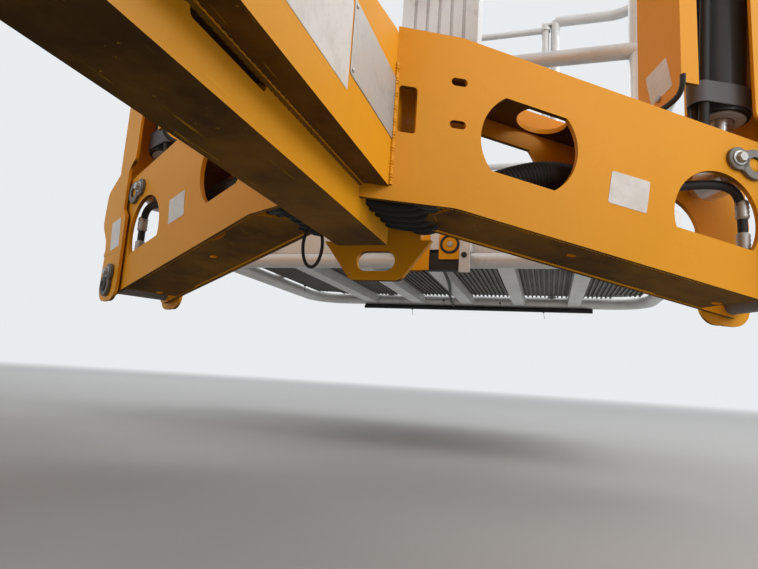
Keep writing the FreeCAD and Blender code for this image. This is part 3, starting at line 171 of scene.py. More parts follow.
class Paint(Nodes):
    """A material under construction."""

    def __init__(self, name):
        self.material = bpy.data.materials.new(name)
        self.material.use_nodes = True
        super().__init__(self.material.node_tree)
        self.shader = self.tree.nodes.new("ShaderNodeBsdfPrincipled")
        self.surface = self.tree.nodes.new("ShaderNodeOutputMaterial").inputs["Surface"]
        self.tree.links.new(self.shader.outputs[0], self.surface)
        self.place = self.node("ShaderNodeTexCoord", output="Object")

    def set(self, **sockets):
        """Values or links of the shader's own sockets, with _ for each space."""
        for key, value in sockets.items():
            self.feed(self.shader.inputs[key.replace("_", " ")], value)

    def stretched(self, scale):
        """Object coordinates multiplied by a vector."""
        return self.node("ShaderNodeMapping", None, {"Vector": self.place, "Scale": scale})

    def noise(self, scale, detail=4.0, rough=0.55, at=None, distortion=0.0):
        inputs = {"Vector": at or self.place, "Scale": scale, "Detail": detail, "Roughness": rough}
        inputs["Distortion"] = distortion
        return self.node("ShaderNodeTexNoise", None, inputs)

    def cells(self, scale):
        """Distance to the nearest of many scattered points."""
        return self.node("ShaderNodeTexVoronoi", None, {"Vector": self.place, "Scale": scale}, "Distance")

    def mix(self, factor, first, second):
        """The first colour where factor is 0, and the second where it is 1."""
        settings = {"data_type": "RGBA", "clamp_factor": True}
        return self.node("ShaderNodeMix", settings, {0: factor, 6: first, 7: second}, 2)

    def facing(self, axis):
        """How far a face points along an object axis, from -1 to 1."""
        normal = self.node("ShaderNodeTexCoord", output="Normal")
        return self.node("ShaderNodeVectorMath", {"operation": "DOT_PRODUCT"}, {0: normal, 1: axis}, "Value")

    def corners(self, reach):
        """1 in tight corners, 0 on open faces."""
        inputs = {"Distance": reach}
        return 1.0 - self.node("ShaderNodeAmbientOcclusion", {"samples": 6}, inputs, "AO")

    def bump(self, height, distance, strength=1.0):
        inputs = {"Height": height, "Distance": distance, "Strength": strength}
        self.set(Normal=self.node("ShaderNodeBump", None, inputs))


def rgb(colour, shade=1.0):
    """A colour with alpha, darkened or lightened by shade."""
    return tuple(min(1.0, c * shade) for c in colour[:3]) + (1.0,)


def painted_steel(name, colour, wear, gloss=0.46):
    """Shop-painted plate: dust, specks, fine scratches and dulled patches, with painted shade on faces that
    point down and in tight corners.
    """
    paint = Paint(name)
    patches = paint.noise(2.3, 5.0, 0.6).step(0.35, 0.7)
    body = paint.mix(patches * 0.5, rgb(colour), rgb(colour, 0.86))
    under = paint.facing((0.0, 0.0, -1.0)).step(0.4, 0.95)
    dust = paint.noise(11.0, 7.0, 0.68, distortion=0.6).step(0.42, 0.78)
    film = paint.noise(3.1, 3.0, 0.5).step(0.3, 0.8)
    dusty = dust * film * (0.24 + 0.1 * under) * wear.dust
    body = paint.mix(dusty, body, (0.27, 0.19, 0.12, 1.0))
    # Painted shade: faces that point down are darkened almost to black, a little unevenly.
    painted_underside_shade = under * (0.98 + 0.24 * paint.noise(5.2, 5.0, 0.62).step(0.3, 0.7)) * wear.painted_shade
    body = paint.mix(painted_underside_shade, body, rgb(colour, 0.045))
    # Painted shade in tight corners, broken into patches by noise.
    painted_shade = (paint.corners(0.05).step(0.25, 0.95) * paint.noise(26.0, 6.0, 0.7).step(0.3, 0.7)) * wear.painted_shade
    body = paint.mix(painted_shade, body, (0.05, 0.032, 0.018, 1.0))
    specks = paint.cells(240.0).step(0.16, 0.05) * paint.noise(15.0, 2.0).step(0.52, 0.7)
    body = paint.mix(specks * 0.7 * wear.chips, body, (0.09, 0.05, 0.03, 1.0))
    streak_a = paint.noise(1.0, 3.0, 0.6, paint.stretched((9.0, 160.0, 240.0))).step(0.66, 0.72)
    streak_b = paint.noise(1.0, 3.0, 0.6, paint.stretched((210.0, 150.0, 12.0))).step(0.68, 0.74)
    rubbed = (streak_a + streak_b) * paint.noise(4.7, 2.0).step(0.5, 0.62)
    body = paint.mix(rubbed * 0.35 * wear.chips, body, rgb(colour, 1.35))
    peel = paint.noise(420.0, 2.0)
    paint.set(Base_Color=body, Roughness=gloss + 0.3 * dusty + 0.25 * painted_shade + 0.1 * patches + 0.38 * under)
    paint.set(Coat_Weight=0.06 - 0.06 * under, Coat_Roughness=0.2, Specular_IOR_Level=0.22)
    paint.bump(peel * 0.3 + dust * 0.5 - specks * 0.6, 0.0004, 0.5)
    return paint.material


def bare_metal(name, colour, roughness, grain=(2.0, 60.0, 400.0), stain_and_shade=0.5, metallic=0.9):
    """Extruded or machined metal: drawn grain, dull blotches, stains, and painted shade in tight corners."""
    paint = Paint(name)
    drawn = paint.noise(1.0, 4.0, 0.6, paint.stretched(grain))
    blotch = paint.noise(7.0, 5.0, 0.65).step(0.35, 0.75)
    body = paint.mix(drawn * 0.45, rgb(colour), rgb(colour, 0.78))
    body = paint.mix(blotch * 0.35, body, rgb(colour, 0.7))
    # Painted shade in tight corners; the same strength also sets the stains.
    painted_shade = paint.corners(0.03).step(0.2, 0.9) * stain_and_shade
    stain = paint.noise(19.0, 6.0, 0.7).step(0.55, 0.75) * stain_and_shade * 0.5
    body = paint.mix(painted_shade + stain, body, (0.07, 0.06, 0.05, 1.0))
    paint.set(Base_Color=body, Metallic=metallic - 0.5 * painted_shade - 0.35 * blotch)
    paint.set(Roughness=roughness + 0.22 * blotch + 0.12 * drawn)
    paint.bump(drawn * 0.5 + blotch * 0.3, 0.0003, 0.4)
    return paint.material


def moulded(name, colour, roughness, pebble=900.0, dust=0.3):
    """Moulded plastic or rubber: fine pebble, scuffs and dust that settles on top."""
    paint = Paint(name)
    scuff = paint.noise(1.0, 4.0, 0.65, paint.stretched((14.0, 90.0, 60.0))).step(0.6, 0.78)
    settled = paint.noise(8.0, 6.0, 0.7).step(0.4, 0.8) * paint.facing((0.0, 0.0, 1.0)).step(-0.4, 0.9)
    body = paint.mix(scuff * 0.3, rgb(colour), rgb(colour, 1.5))
    body = paint.mix(settled * dust, body, (0.3, 0.26, 0.21, 1.0))
    paint.set(Base_Color=body, Roughness=roughness + 0.15 * scuff + 0.2 * settled)
    paint.bump(paint.cells(pebble) * 0.5 + scuff * 0.3, 0.0003, 0.5)
    return paint.material


def tyre_rubber(name, colour):
    """Road rubber: dusty sidewall, polished tread, fine moulding rings."""
    paint = Paint(name)
    mud = paint.noise(16.0, 7.0, 0.72).step(0.4, 0.75)
    body = paint.mix(mud * 0.5, rgb(colour), (0.12, 0.1, 0.08, 1.0))
    body = paint.mix(paint.corners(0.012).step(0.2, 0.8) * 0.6, body, (0.16, 0.135, 0.11, 1.0))
    paint.set(Base_Color=body, Roughness=0.72 + 0.2 * mud)
    paint.bump(paint.noise(700.0, 3.0) * 0.4 + mud * 0.3, 0.0004, 0.6)
    return paint.material


def lens(name, colour):
    """Coloured lamp plastic with small prisms behind a glossy face."""
    paint = Paint(name)
    prisms = paint.cells(160.0)
    body = paint.mix(prisms.step(0.2, 0.7), rgb(colour), rgb(colour, 0.45))
    paint.set(Base_Color=body, Roughness=0.16 + 0.1 * paint.noise(40.0))
    paint.set(Coat_Weight=0.6)
    paint.bump(prisms, 0.0006, 0.5)
    return paint.material


def label(name, colour):
    """A blank printed film: faintly yellowed, with rubbed edges and dust."""
    paint = Paint(name)
    rub = paint.noise(120.0, 6.0, 0.75).step(0.5, 0.72)
    body = paint.mix(rub * 0.3, rgb(colour), (0.52, 0.47, 0.38, 1.0))
    body = paint.mix(paint.noise(33.0, 4.0).step(0.45, 0.7) * 0.22, body, (0.42, 0.36, 0.27, 1.0))
    paint.set(Base_Color=body, Roughness=0.38 + 0.3 * rub)
    paint.bump(rub, 0.0001, 0.4)
    return paint.material


# Shapes


def on_beam(points, sign_x, sign_y):
    """Moves points drawn along a beam (outwards, across, up) to the beam of one corner:
    a turn of 90 degrees plus the beam's angle about Z, a shift to the root, then mirrors."""
    points = np.asarray(points, float).reshape(-1, 3)
    turn = math.pi / 2 + BEAM_ANGLE
    x = points[:, 0] * math.cos(turn) - points[:, 1] * math.sin(turn) - ROOT
    y = points[:, 0] * math.sin(turn) + points[:, 1] * math.cos(turn) + BOX_HALF
    x = -x if sign_x > 0 else x
    y = -y if sign_y < 0 else y
    return np.stack([x + SHIFT_X, y, points[:, 2]], 1)


def beam_shape(shape, corner):
    """A shape drawn along a beam, moved to the beam of one corner."""
    return on_beam(shape[0], corner[1], corner[2]), shape[1]


def beam_edge(u, at_root):
    """Height of a beam's edge at a distance along it, in metres."""
    return TUBE_LOW + at_root - np.maximum(0.0, u - BEAM_BEND) * BEAM_FALL


def grid_faces(rows, columns, wrap_rows=False, wrap_columns=False):
    """Quads between the points of a grid, as rows of four indices."""
    i = np.arange(rows if wrap_rows else rows - 1)
    j = np.arange(columns if wrap_columns else columns - 1)
    i, j = (a.ravel() for a in np.meshgrid(i, j, indexing="ij"))
    i2 = (i + 1) % rows
    j2 = (j + 1) % columns
    return np.stack([i * columns + j, i * columns + j2, i2 * columns + j2, i2 * columns + j], 1)


def capped(rows, columns):
    """Faces of a row of rings, with one more over the first ring and one over the last."""
    faces = grid_faces(rows, columns, wrap_columns=True).tolist()
    return faces + [list(range(columns)), list(range((rows - 1) * columns, rows * columns))]


def frame_of(axis):
    """The unit axis, and two unit vectors square to it and to each other."""
    axis = np.asarray(axis, float)
    axis = axis / np.linalg.norm(axis)
    other = np.array([0.0, 0.0, 1.0]) if abs(axis[2]) < 0.9 else np.array([1.0, 0.0, 0.0])
    first = np.cross(other, axis)
    first /= np.linalg.norm(first)
    return axis, first, np.cross(axis, first)


def lathe(profile, centre, axis, sides=32, ring=False):
    """A turned shape: P(i, a) = centre + h_i axis + r_i (cos a first + sin a second), (r, h) the profile.
    With ring the profile is closed on itself, and leaves a hole."""
    axis, first, second = frame_of(axis)
    profile = np.asarray(profile, float)
    angle = np.arange(sides) * 2 * math.pi / sides
    spokes = np.cos(angle)[:, None] * first + np.sin(angle)[:, None] * second
    points = profile[:, 0, None, None] * spokes[None] + profile[:, 1, None, None] * axis
    points = (points + np.asarray(centre, float)).reshape(-1, 3)
    if ring:
        return points, grid_faces(len(profile), sides, True, True).tolist()
    return points, capped(len(profile), sides)


def band(circles, low, high, thick, sides=56):
    """A strap round circles (a, b, r): P(t) = c + (r + h) d(t), with c and r of the circle that reaches
    furthest in the direction d(t), and h from 0 to thick. The third coordinate runs from low to high."""
    circles = np.asarray(circles, float)
    angle = np.arange(sides) * 2 * math.pi / sides
    way = np.stack([np.cos(angle), np.sin(angle)], 1)
    furthest = np.argmax(way @ circles[:, :2].T + circles[:, 2], 1)
    rings = []
    for out, height in ((0.0, low), (thick, low), (thick, high), (0.0, high)):
        ring = circles[furthest, :2] + (circles[furthest, 2] + out)[:, None] * way
        rings.append(np.column_stack([ring, np.full(sides, height)]))
    return np.vstack(rings), grid_faces(4, sides, True, True).tolist()


def strap(circles, middle, width, thick):
    """A band round circles (y, z, r), as wide along X as it says about its middle."""
    points, faces = band(circles, middle - width / 2, middle + width / 2, thick)
    return points[:, [2, 0, 1]], faces


def smooth_path(points, count=60):
    """A uniform cubic B-spline that starts and ends on the first and last point."""
    points = np.asarray(points, float)
    ends = np.vstack([2 * points[0] - points[1], points, 2 * points[-1] - points[-2]])
    spans = len(ends) - 3
    at = np.linspace(0, spans, count)
    i = np.minimum(at.astype(int), spans - 1)
    t = (at - i)[:, None]
    weights = ((1 - t) ** 3, 3 * t**3 - 6 * t**2 + 4, -3 * t**3 + 3 * t**2 + 3 * t + 1, t**3)
    return sum(w * ends[i + k] for k, w in enumerate(weights)) / 6


def sweep(path, radius, sides=10, ripple=0.0, waves=0.0, flat=1.0):
    """A tube: P(s, a) = path(s) + r(s) (cos a side + flat sin a up), with s from 0 to 1 and
    r(s) = radius (1 + ripple sin(2 pi waves s))."""
    path = np.asarray(path, float)
    tangent = np.gradient(path, axis=0)
    tangent /= np.linalg.norm(tangent, axis=1)[:, None]
    spread = np.abs(tangent).mean(0)
    guide = np.eye(3)[int(np.argmin(spread))]
    side = np.cross(tangent, guide)
    side /= np.linalg.norm(side, axis=1)[:, None]
    up = np.cross(side, tangent)
    angle = np.arange(sides) * 2 * math.pi / sides
    along = np.linspace(0, 1, len(path))
    r = radius * (1 + ripple * np.sin(2 * math.pi * waves * along))
    points = path[:, None] + r[:, None, None] * (
        np.cos(angle)[None, :, None] * side[:, None] + flat * np.sin(angle)[None, :, None] * up[:, None]
    )
    return points.reshape(-1, 3), capped(len(path), sides)


def rounded_outline(width, height, radius, steps=5):
    """Corner points of a rounded rectangle about the origin, anticlockwise."""
    corners = ((1, 1, 0), (-1, 1, 1), (-1, -1, 2), (1, -1, 3))
    parts = []
    for sx, sy, quarter in corners:
        a = np.linspace(quarter, quarter + 1, steps) * math.pi / 2
        x = sx * (width / 2 - radius) + radius * np.cos(a)
        y = sy * (height / 2 - radius) + radius * np.sin(a)
        parts.append(np.stack([x, y], 1))
    return np.vstack(parts)


def filleted(points, radii, steps=7):
    """An outline with arcs at its corners: each arc starts r tan(turn / 2) before its corner."""
    points = np.asarray(points, float)
    outline = []
    for i, radius in enumerate(radii):
        corner = points[i]
        back = points[i - 1] - corner
        ahead = points[(i + 1) % len(points)] - corner
        back /= np.linalg.norm(back)
        ahead /= np.linalg.norm(ahead)
        if radius <= 0:
            outline.append(corner)
            continue
        half = math.acos(max(-1.0, min(1.0, float(back @ ahead)))) / 2
        middle = corner + (back + ahead) / np.linalg.norm(back + ahead) * radius / math.sin(half)
        first = corner + back * radius / math.tan(half) - middle
        last = corner + ahead * radius / math.tan(half) - middle
        for t in np.linspace(0, 1, steps):
            way = first * (1 - t) + last * t
            outline.append(middle + way / np.linalg.norm(way) * radius)
    return np.array(outline)


def slab(outline, thick, centre, across, up, edge=0.0):
    """A plate: the outline carried along its normal by three rings, the last drawn in by edge."""
    across = np.asarray(across, float)
    up = np.asarray(up, float)
    normal = np.cross(across, up)
    outline = np.asarray(outline, float)
    middle = outline.mean(0)
    size = np.abs(outline - middle).max(0)
    inner = middle + (outline - middle) * (1 - edge / np.maximum(size, 1e-6))
    rings = ((outline, 0.0), (outline, thick - edge), (inner, thick))
    points = np.vstack(
        [np.asarray(centre, float) + o[:, :1] * across + o[:, 1:] * up + h * normal for o, h in rings]
    )
    return points, capped(3, len(outline))


def block(low, high, edge=0.003):
    """A box with its upper and outer edges broken, between two corners."""
    low = np.asarray(low, float)
    high = np.asarray(high, float)
    size = high - low
    outline = rounded_outline(size[0], size[1], min(edge * 2, size[0] / 3, size[1] / 3), 4)
    centre = ((low[0] + high[0]) / 2, (low[1] + high[1]) / 2, low[2])
    return slab(outline, size[2], centre, (1, 0, 0), (0, 1, 0), edge)


def hex_head(centre, axis, across_flats, height):
    """A bolt head: six flats with a turned chamfer, P as in lathe with six sides."""
    r = across_flats / math.sqrt(3)
    profile = ((r, 0.0), (r, height * 0.75), (r * 0.86, height))
    return lathe(profile, centre, axis, 6)


def domed(centre, axis, radius, height, rim=0.4):
    """A turned button: a straight rim, then a quarter-round to a small flat."""
    profile = [(radius, 0.0), (radius, height * rim)]
    for t in np.linspace(0, math.pi / 2, 6)[1:]:
        out = radius * (0.12 + 0.88 * math.cos(t))
        profile.append((out, height * (rim + (1 - rim) * math.sin(t))))
    return lathe(profile, centre, axis, 24)


def make_piece(name, shapes, look, body, corner=None):
    """One object of joined shapes in a finish, closed and facing outwards, that rides on a body.
    With a corner the shapes are drawn along a beam, and moved to that corner's beam."""
    points = []
    faces = []
    start = 0
    for verts, quads in shapes:
        points.append(on_beam(verts, *corner[1:]) if corner else np.asarray(verts, float))
        faces += [[start + i for i in face] for face in quads]
        start += len(verts)
    mesh = bpy.data.meshes.new(name)
    mesh.from_pydata(np.vstack(points).tolist(), [], faces)
    work = bmesh.new()
    work.from_mesh(mesh)
    bmesh.ops.remove_doubles(work, verts=work.verts, dist=1e-6)
    bmesh.ops.dissolve_degenerate(work, edges=work.edges, dist=1e-7)
    bmesh.ops.recalc_face_normals(work, faces=work.faces)
    work.to_mesh(mesh)
    work.free()
    mesh.shade_smooth()
    mesh.set_sharp_from_angle(angle=SHARP_ANGLE)
    mesh.materials.append(FINISHES[look])
    piece = bpy.data.objects.new(name, mesh)
    bpy.context.scene.collection.objects.link(piece)
    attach(piece, body)
    return piece


# Sizes and colours that a user would change


class WearSettings(bpy.types.PropertyGroup):
    dust: FloatProperty(name="Dust", description="Road dust on the paint", default=0.3, min=0.0, max=1.0)
    # Sets the painted shade on the paint: how dark its undersides and tight corners are painted.
    painted_shade: FloatProperty(name="Grime", description="Dirt in corners", default=0.8, min=0.0, max=1.0)
    chips: FloatProperty(name="Chips", description="Specks and scratches", default=0.8, min=0.0, max=1.0)


class ColourSettings(bpy.types.PropertyGroup):
    structure: FloatVectorProperty(
        name="Structure", description="Paint of the frame, legs and booms", subtype="COLOR",
        default=(0.90, 0.385, 0.006), min=0.0, max=1.0,
    )
    aluminium: FloatVectorProperty(
        name="Aluminium", description="Platform tubes and column", subtype="COLOR",
        default=(0.82, 0.82, 0.81), min=0.0, max=1.0,
    )
    steel: FloatVectorProperty(
        name="Dark steel", description="Pins, keepers and bolts", subtype="COLOR",
        default=(0.085, 0.08, 0.075), min=0.0, max=1.0,
    )
    barrel: FloatVectorProperty(
        name="Cylinder barrels", description="Grey paint of the hydraulic barrels", subtype="COLOR",
        default=(0.085, 0.092, 0.11), min=0.0, max=1.0,
    )
    rubber: FloatVectorProperty(
        name="Rubber", description="Tyres, hoses and strips", subtype="COLOR",
        default=(0.022, 0.022, 0.024), min=0.0, max=1.0,
    )
    label: FloatVectorProperty(
        name="Labels", description="Blank films and plates", subtype="COLOR",
        default=(0.8, 0.79, 0.76), min=0.0, max=1.0,
    )


class TyreSettings(bpy.types.PropertyGroup):
    tread_depth: FloatProperty(
        name="Tread depth", description="Depth of the grooves", default=0.007,
        min=0.001, max=0.012, unit="LENGTH",
    )
    blocks: IntProperty(name="Blocks", description="Tread blocks round the tyre", default=64, min=24, max=120)


class HoseSettings(bpy.types.PropertyGroup):
    radius: FloatProperty(
        name="Hose radius", description="Radius of a hydraulic hose", default=0.0075,
        min=0.003, max=0.02, unit="LENGTH",
    )
    sides: IntProperty(name="Hose sides", description="Faces round a hose", default=12, min=6, max=32)


class StageSettings(bpy.types.PropertyGroup):
    floor: FloatVectorProperty(
        name="Floor", description="Pale floor", subtype="COLOR",
        default=(0.40, 0.40, 0.39), min=0.0, max=1.0,
    )
    sky: FloatVectorProperty(
        name="Backdrop", description="Pale backdrop", subtype="COLOR",
        default=(0.82, 0.84, 0.86), min=0.0, max=1.0,
    )
    fill: FloatProperty(
        name="Fill light", description="Strength of the even light", default=0.47, min=0.0, max=3.0,
    )
    key: FloatProperty(
        name="Key light", description="Power of the large soft lamp", default=188.0,
        min=0.0, max=5000.0, unit="POWER",
    )


class BoomLiftSettings(bpy.types.PropertyGroup):
    wear: PointerProperty(type=WearSettings)
    colour: PointerProperty(type=ColourSettings)
    tyre: PointerProperty(type=TyreSettings)
    hose: PointerProperty(type=HoseSettings)
    stage: PointerProperty(type=StageSettings)


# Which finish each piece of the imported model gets
NODE_FINISHES = (
    ("orange", ("spine_box", "lower_tube", "drawbar", "outrigger_beam_", "outrigger_leg_", "rear_bracket",
                "fender_", "slew_base", "boom_rest", "turntable_frame", "riser_boom", "tie_bars", "knuckle",
                "upper_boom", "cover_")),
    ("worn_steel", ("outrigger_pins", "turntable_pins")),
    ("barrel", ("leg_barrel_", "riser_barrel", "luff_barrel")),
    ("chrome", ("leg_rod_", "riser_rod", "luff_rod")),
    ("black_paint", ("axle", "battery_block")),
    ("zinc", ("coupler", "jack_housing", "jack_leg")),
    ("rim_white", ("rim_",)),
    ("rubber", ("tyre_",)),
    ("floor_aluminium", ("platform_floor",)),
    ("aluminium", ("mast_column", "platform_frame", "platform_rails", "toe_boards", "gate")),
    ("fly_steel", ("fly_boom", "mast_head")),
    ("grey_plastic", ("ground_controls", "platform_controls")),
    ("red_lens", ("tail_lamps",)),
)


class BOOMLIFT_OT_finishes(bpy.types.Operator):
    """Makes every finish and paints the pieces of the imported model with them"""

    bl_idname = "boomlift.finishes"
    bl_label = "Paint the Packed Model"

    def execute(self, context):
        colour = context.scene.boomlift.colour
        wear = context.scene.boomlift.wear
        # Grain: how fine it is along X, Y and Z
        rods = (30.0, 30.0, 900.0)
        floor = (60.0, 900.0, 60.0)
        even = (60.0, 60.0, 60.0)
        rough = (90.0, 90.0, 90.0)
        # Short name, maker and its values: a name, a colour, then those of the maker
        looks = (
            ("orange", painted_steel, "orange_paint", colour.structure, wear),
            ("black_paint", painted_steel, "black_paint", (0.03, 0.03, 0.032), wear, 0.45),
            ("rim_white", painted_steel, "rim_white", (0.62, 0.61, 0.58), wear, 0.4),
            ("fly_steel", painted_steel, "fly_paint", colour.structure, wear, 0.42),
            ("barrel", painted_steel, "barrel_paint", colour.barrel, wear, 0.34),
            ("weld", painted_steel, "weld_paint", colour.structure, wear, 0.55),
            ("aluminium", bare_metal, "mill_aluminium", colour.aluminium, 0.40, (2.0, 60.0, 400.0), 0.4, 0.5),
            ("floor_aluminium", bare_metal, "floor_aluminium", (0.24, 0.235, 0.225), 0.5, floor, 1.1, 0.6),
            ("dark_steel", bare_metal, "dark_steel", colour.steel, 0.48, rough, 0.5, 0.75),
            ("worn_steel", bare_metal, "worn_steel", (0.20, 0.185, 0.165), 0.5, rough, 0.9, 0.7),
            ("zinc", bare_metal, "zinc_plate", (0.5, 0.5, 0.49), 0.45, even, 0.6),
            ("chrome", bare_metal, "chrome_rod", (0.72, 0.72, 0.73), 0.12, rods, 0.15, 1.0),
            ("brushed_plate", bare_metal, "brushed_plate", (0.58, 0.58, 0.56), 0.38, (3.0, 90.0, 700.0), 0.5),
            ("rubber", tyre_rubber, "tyre_rubber", colour.rubber),
            ("hose", moulded, "hose_rubber", rgb(colour.rubber, 0.5), 0.62, 1400.0, 0.1),
            # Near-black sleeve: its darkness is painted shade for the shadowed root of the spine.
            ("black_sleeve", moulded, "black_sleeve", (0.005, 0.005, 0.0055), 0.8, 1400.0, 0.02),
            ("grey_webbing", moulded, "grey_webbing", (0.13, 0.135, 0.15), 0.7, 1600.0, 0.5),
            ("grey_plastic", moulded, "grey_plastic", (0.12, 0.12, 0.125), 0.5),
            ("black_plastic", moulded, "black_plastic", (0.02, 0.02, 0.021), 0.42),
            ("white_plastic", moulded, "white_plastic", (0.62, 0.61, 0.57), 0.45, 700.0, 0.35),
            ("red_plastic", moulded, "red_plastic", (0.55, 0.02, 0.015), 0.3, 600.0, 0.1),
            ("yellow_plastic", moulded, "yellow_plastic", (0.75, 0.5, 0.03), 0.35, 600.0, 0.1),
            ("red_lens", lens, "red_lens", (0.55, 0.012, 0.012)),
            ("label", label, "blank_label", colour.label),
        )
        for key, maker, *values in looks:
            FINISHES[key] = maker(*values)
        for name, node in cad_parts.items():
            for key, starts in NODE_FINISHES:
                if name.startswith(starts):
                    node.data.materials.clear()
                    node.data.materials.append(FINISHES[key])
        return {"FINISHED"}


class BOOMLIFT_OT_tyres(bpy.types.Operator):
    """Makes both road tyres: a lathed carcass whose tread is cut by a function of angle and width"""

    bl_idname = "boomlift.tyres"
    bl_label = "Tyres"

    CROWN = 0.076           # half the tread's width

    def execute(self, context):
        settings = context.scene.boomlift.tyre
        for side, sign in (("left", 1), ("right", -1)):
            shape = self.carcass(sign, settings)
            tyre = make_piece("tread_" + side, [shape], "rubber", "wheel_" + side)
            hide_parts("tyre_" + side)
        return {"FINISHED"}

    def carcass(self, sign, settings):
        """P(a, s): the section point s turned by a, drawn in by the tread depth inside the grooves.
        Grooves: four bands round the tyre, and slanted cuts |frac(blocks a + slant w) - 1/2| < share."""
        half = TYRE_HALF
        sidewall = [
            (RIM_RADIUS + 0.0005, -0.078), (RIM_RADIUS + 0.012, -0.0795), (RIM_RADIUS + 0.03, -0.09),
            (RIM_RADIUS + 0.05, -half + 0.003), (RIM_RADIUS + 0.066, -half + 0.0004),
            (RIM_RADIUS + 0.085, -half + 0.001), (TYRE_RADIUS - 0.045, -half + 0.0035),
            (TYRE_RADIUS - 0.028, -half + 0.007), (TYRE_RADIUS - 0.012, -half + 0.016),
        ]
        crown = [(TYRE_RADIUS - 0.004 * t**4, self.CROWN * t) for t in np.linspace(-1, 1, 41)]
        other = [(r, -w) for r, w in reversed(sidewall)]
        section = np.array(sidewall + crown + other + [(RIM_RADIUS + 0.0005, 0.0)])
        turns = 6 * settings.blocks
        angle = np.arange(turns) * 2 * math.pi / turns
        r = np.repeat(section[None, :, 0], turns, 0)
        w = np.repeat(section[None, :, 1], turns, 0)
        on_tread = (np.abs(w) <= self.CROWN + 0.0001) & (r > TYRE_RADIUS - 0.006)
        bands = np.zeros_like(w, bool)
        for middle in (-0.045, -0.0155, 0.0155, 0.045):
            bands |= np.abs(w - middle) < 0.0042
        phase = settings.blocks * angle[:, None] / (2 * math.pi) + 18.0 * np.abs(w)
        cuts = (np.abs((phase % 1.0) - 0.5) < 0.1) & (np.abs(np.abs(w) - 0.030) > 0.006)
        r = r - settings.tread_depth * (on_tread & (bands | cuts))
        x = AXLE[0] + r * np.sin(angle)[:, None]
        y = sign * (TRACK_HALF + w)
        z = AXLE[1] + r * np.cos(angle)[:, None]
        points = np.stack([x, y, z], 2).reshape(-1, 3)
        return points, grid_faces(turns, len(section), True, True).tolist()


class BOOMLIFT_OT_wheels(bpy.types.Operator):
    """Makes the wheel nuts, the bearing cap and the valve of each wheel"""

    bl_idname = "boomlift.wheels"
    bl_label = "Wheel Fittings"

    def execute(self, context):
        for side, sign in (("left", 1), ("right", -1)):
            nuts = []
            face = sign * (TRACK_HALF + 0.0135)
            for i in range(5):
                a = 2 * math.pi * i / 5
                centre = (AXLE[0] + 0.09 * math.sin(a), face - sign * 0.012, AXLE[1] + 0.09 * math.cos(a))
                nuts.append(hex_head(centre, (0, sign, 0), 0.019, 0.024))
            make_piece("wheel_nuts_" + side, nuts, "zinc", "wheel_" + side)
            cap = domed((AXLE[0], sign * (TRACK_HALF + 0.059), AXLE[1]), (0, sign, 0), 0.03, 0.016)
            make_piece("bearing_cap_" + side, [cap], "zinc", "wheel_" + side)
            inner = (AXLE[0] + 0.128, sign * (TRACK_HALF + 0.01), AXLE[1])
            outer = (AXLE[0] + 0.121, sign * (TRACK_HALF + 0.036), AXLE[1])
            valve = sweep(np.linspace(inner, outer, 8), 0.004, 10)
            make_piece("valve_" + side, [valve], "hose", "wheel_" + side)
        return {"FINISHED"}


class BOOMLIFT_OT_pins(bpy.types.Operator):
    """Makes the keepers with their bolts, and the pin ends"""

    bl_idname = "boomlift.pins"
    bl_label = "Pin Fittings"

    def execute(self, context):
        bolts = []
        ends = []
        plates = []
        caps = []
        cap = [(0.0112, 0), (0.0112, 0.003), (0.0095, 0.0042), (0.003, 0.0044)]
        for corner in CORNERS:
            for at, lean, face, eye in ((PIVOT, 62.0, 0.012, False), (STRUT, 12.0, 0.0, True)):
                a = math.radians(lean)
                for away, w in ((-1, -face), (1, BEAM_WIDE + face)):
                    tail = (at[0] - 0.030 * math.cos(a), w, at[1] + 0.030 * math.sin(a))
                    made = self.keeper((at[0], w, at[1]), tail, away, eye)
                    for pieces, shapes in zip((plates, bolts, ends), made):
                        pieces += [beam_shape(shape, corner) for shape in shapes]
            for away, w in ((-1, 0.001), (1, BEAM_WIDE - 0.001)):
                caps.append(beam_shape(lathe(cap, (STRUT[0], w, STRUT[1]), (0, away, 0), 28), corner))
        make_piece("keeper_plates", plates, "worn_steel", "chassis")
        make_piece("keeper_bolts", bolts, "zinc", "chassis")
        make_piece("pin_ends", ends, "dark_steel", "chassis")
        make_piece("painted_pin_ends", caps, "orange", "chassis")
        return {"FINISHED"}

    def keeper(self, pin, tail, away, eye):
        """Rolled edges round both ends of a keeper, its bolt with a washer, and the pin's slotted end."""
        axis = (0, away, 0)
        hole, wide = (0.0122, 0.0246) if eye else (0.0150, 0.0258)
        plates = [self.rolled(hole, wide, pin, axis, 40), self.rolled(0.004, 0.0185, tail, axis, 36)]
        spot = (tail[0], tail[1] + away * 0.0066, tail[2])
        bolts = [
            lathe([(0.0118, 0), (0.0118, 0.0016), (0.0108, 0.0021)], spot, axis, 30),
            hex_head((spot[0], spot[1] + away * 0.002, spot[2]), axis, 0.015, 0.0070),
        ]
        if eye:
            return plates, bolts, []
        end = [
            (0.0148, 0.0), (0.0148, 0.0082), (0.0130, 0.0094), (0.006, 0.0095), (0.006, 0.0078),
            (0.002, 0.0078),
        ]
        return plates, bolts, [lathe(end, pin, axis, 32)]

    def rolled(self, hole, wide, centre, axis, sides):
        """A flat ring whose outer edge is broken."""
        profile = [(hole, 0), (wide, 0), (wide, 0.0056), (wide - 0.001, 0.0066), (hole, 0.0066)]
        return lathe(profile, centre, axis, sides, ring=True)


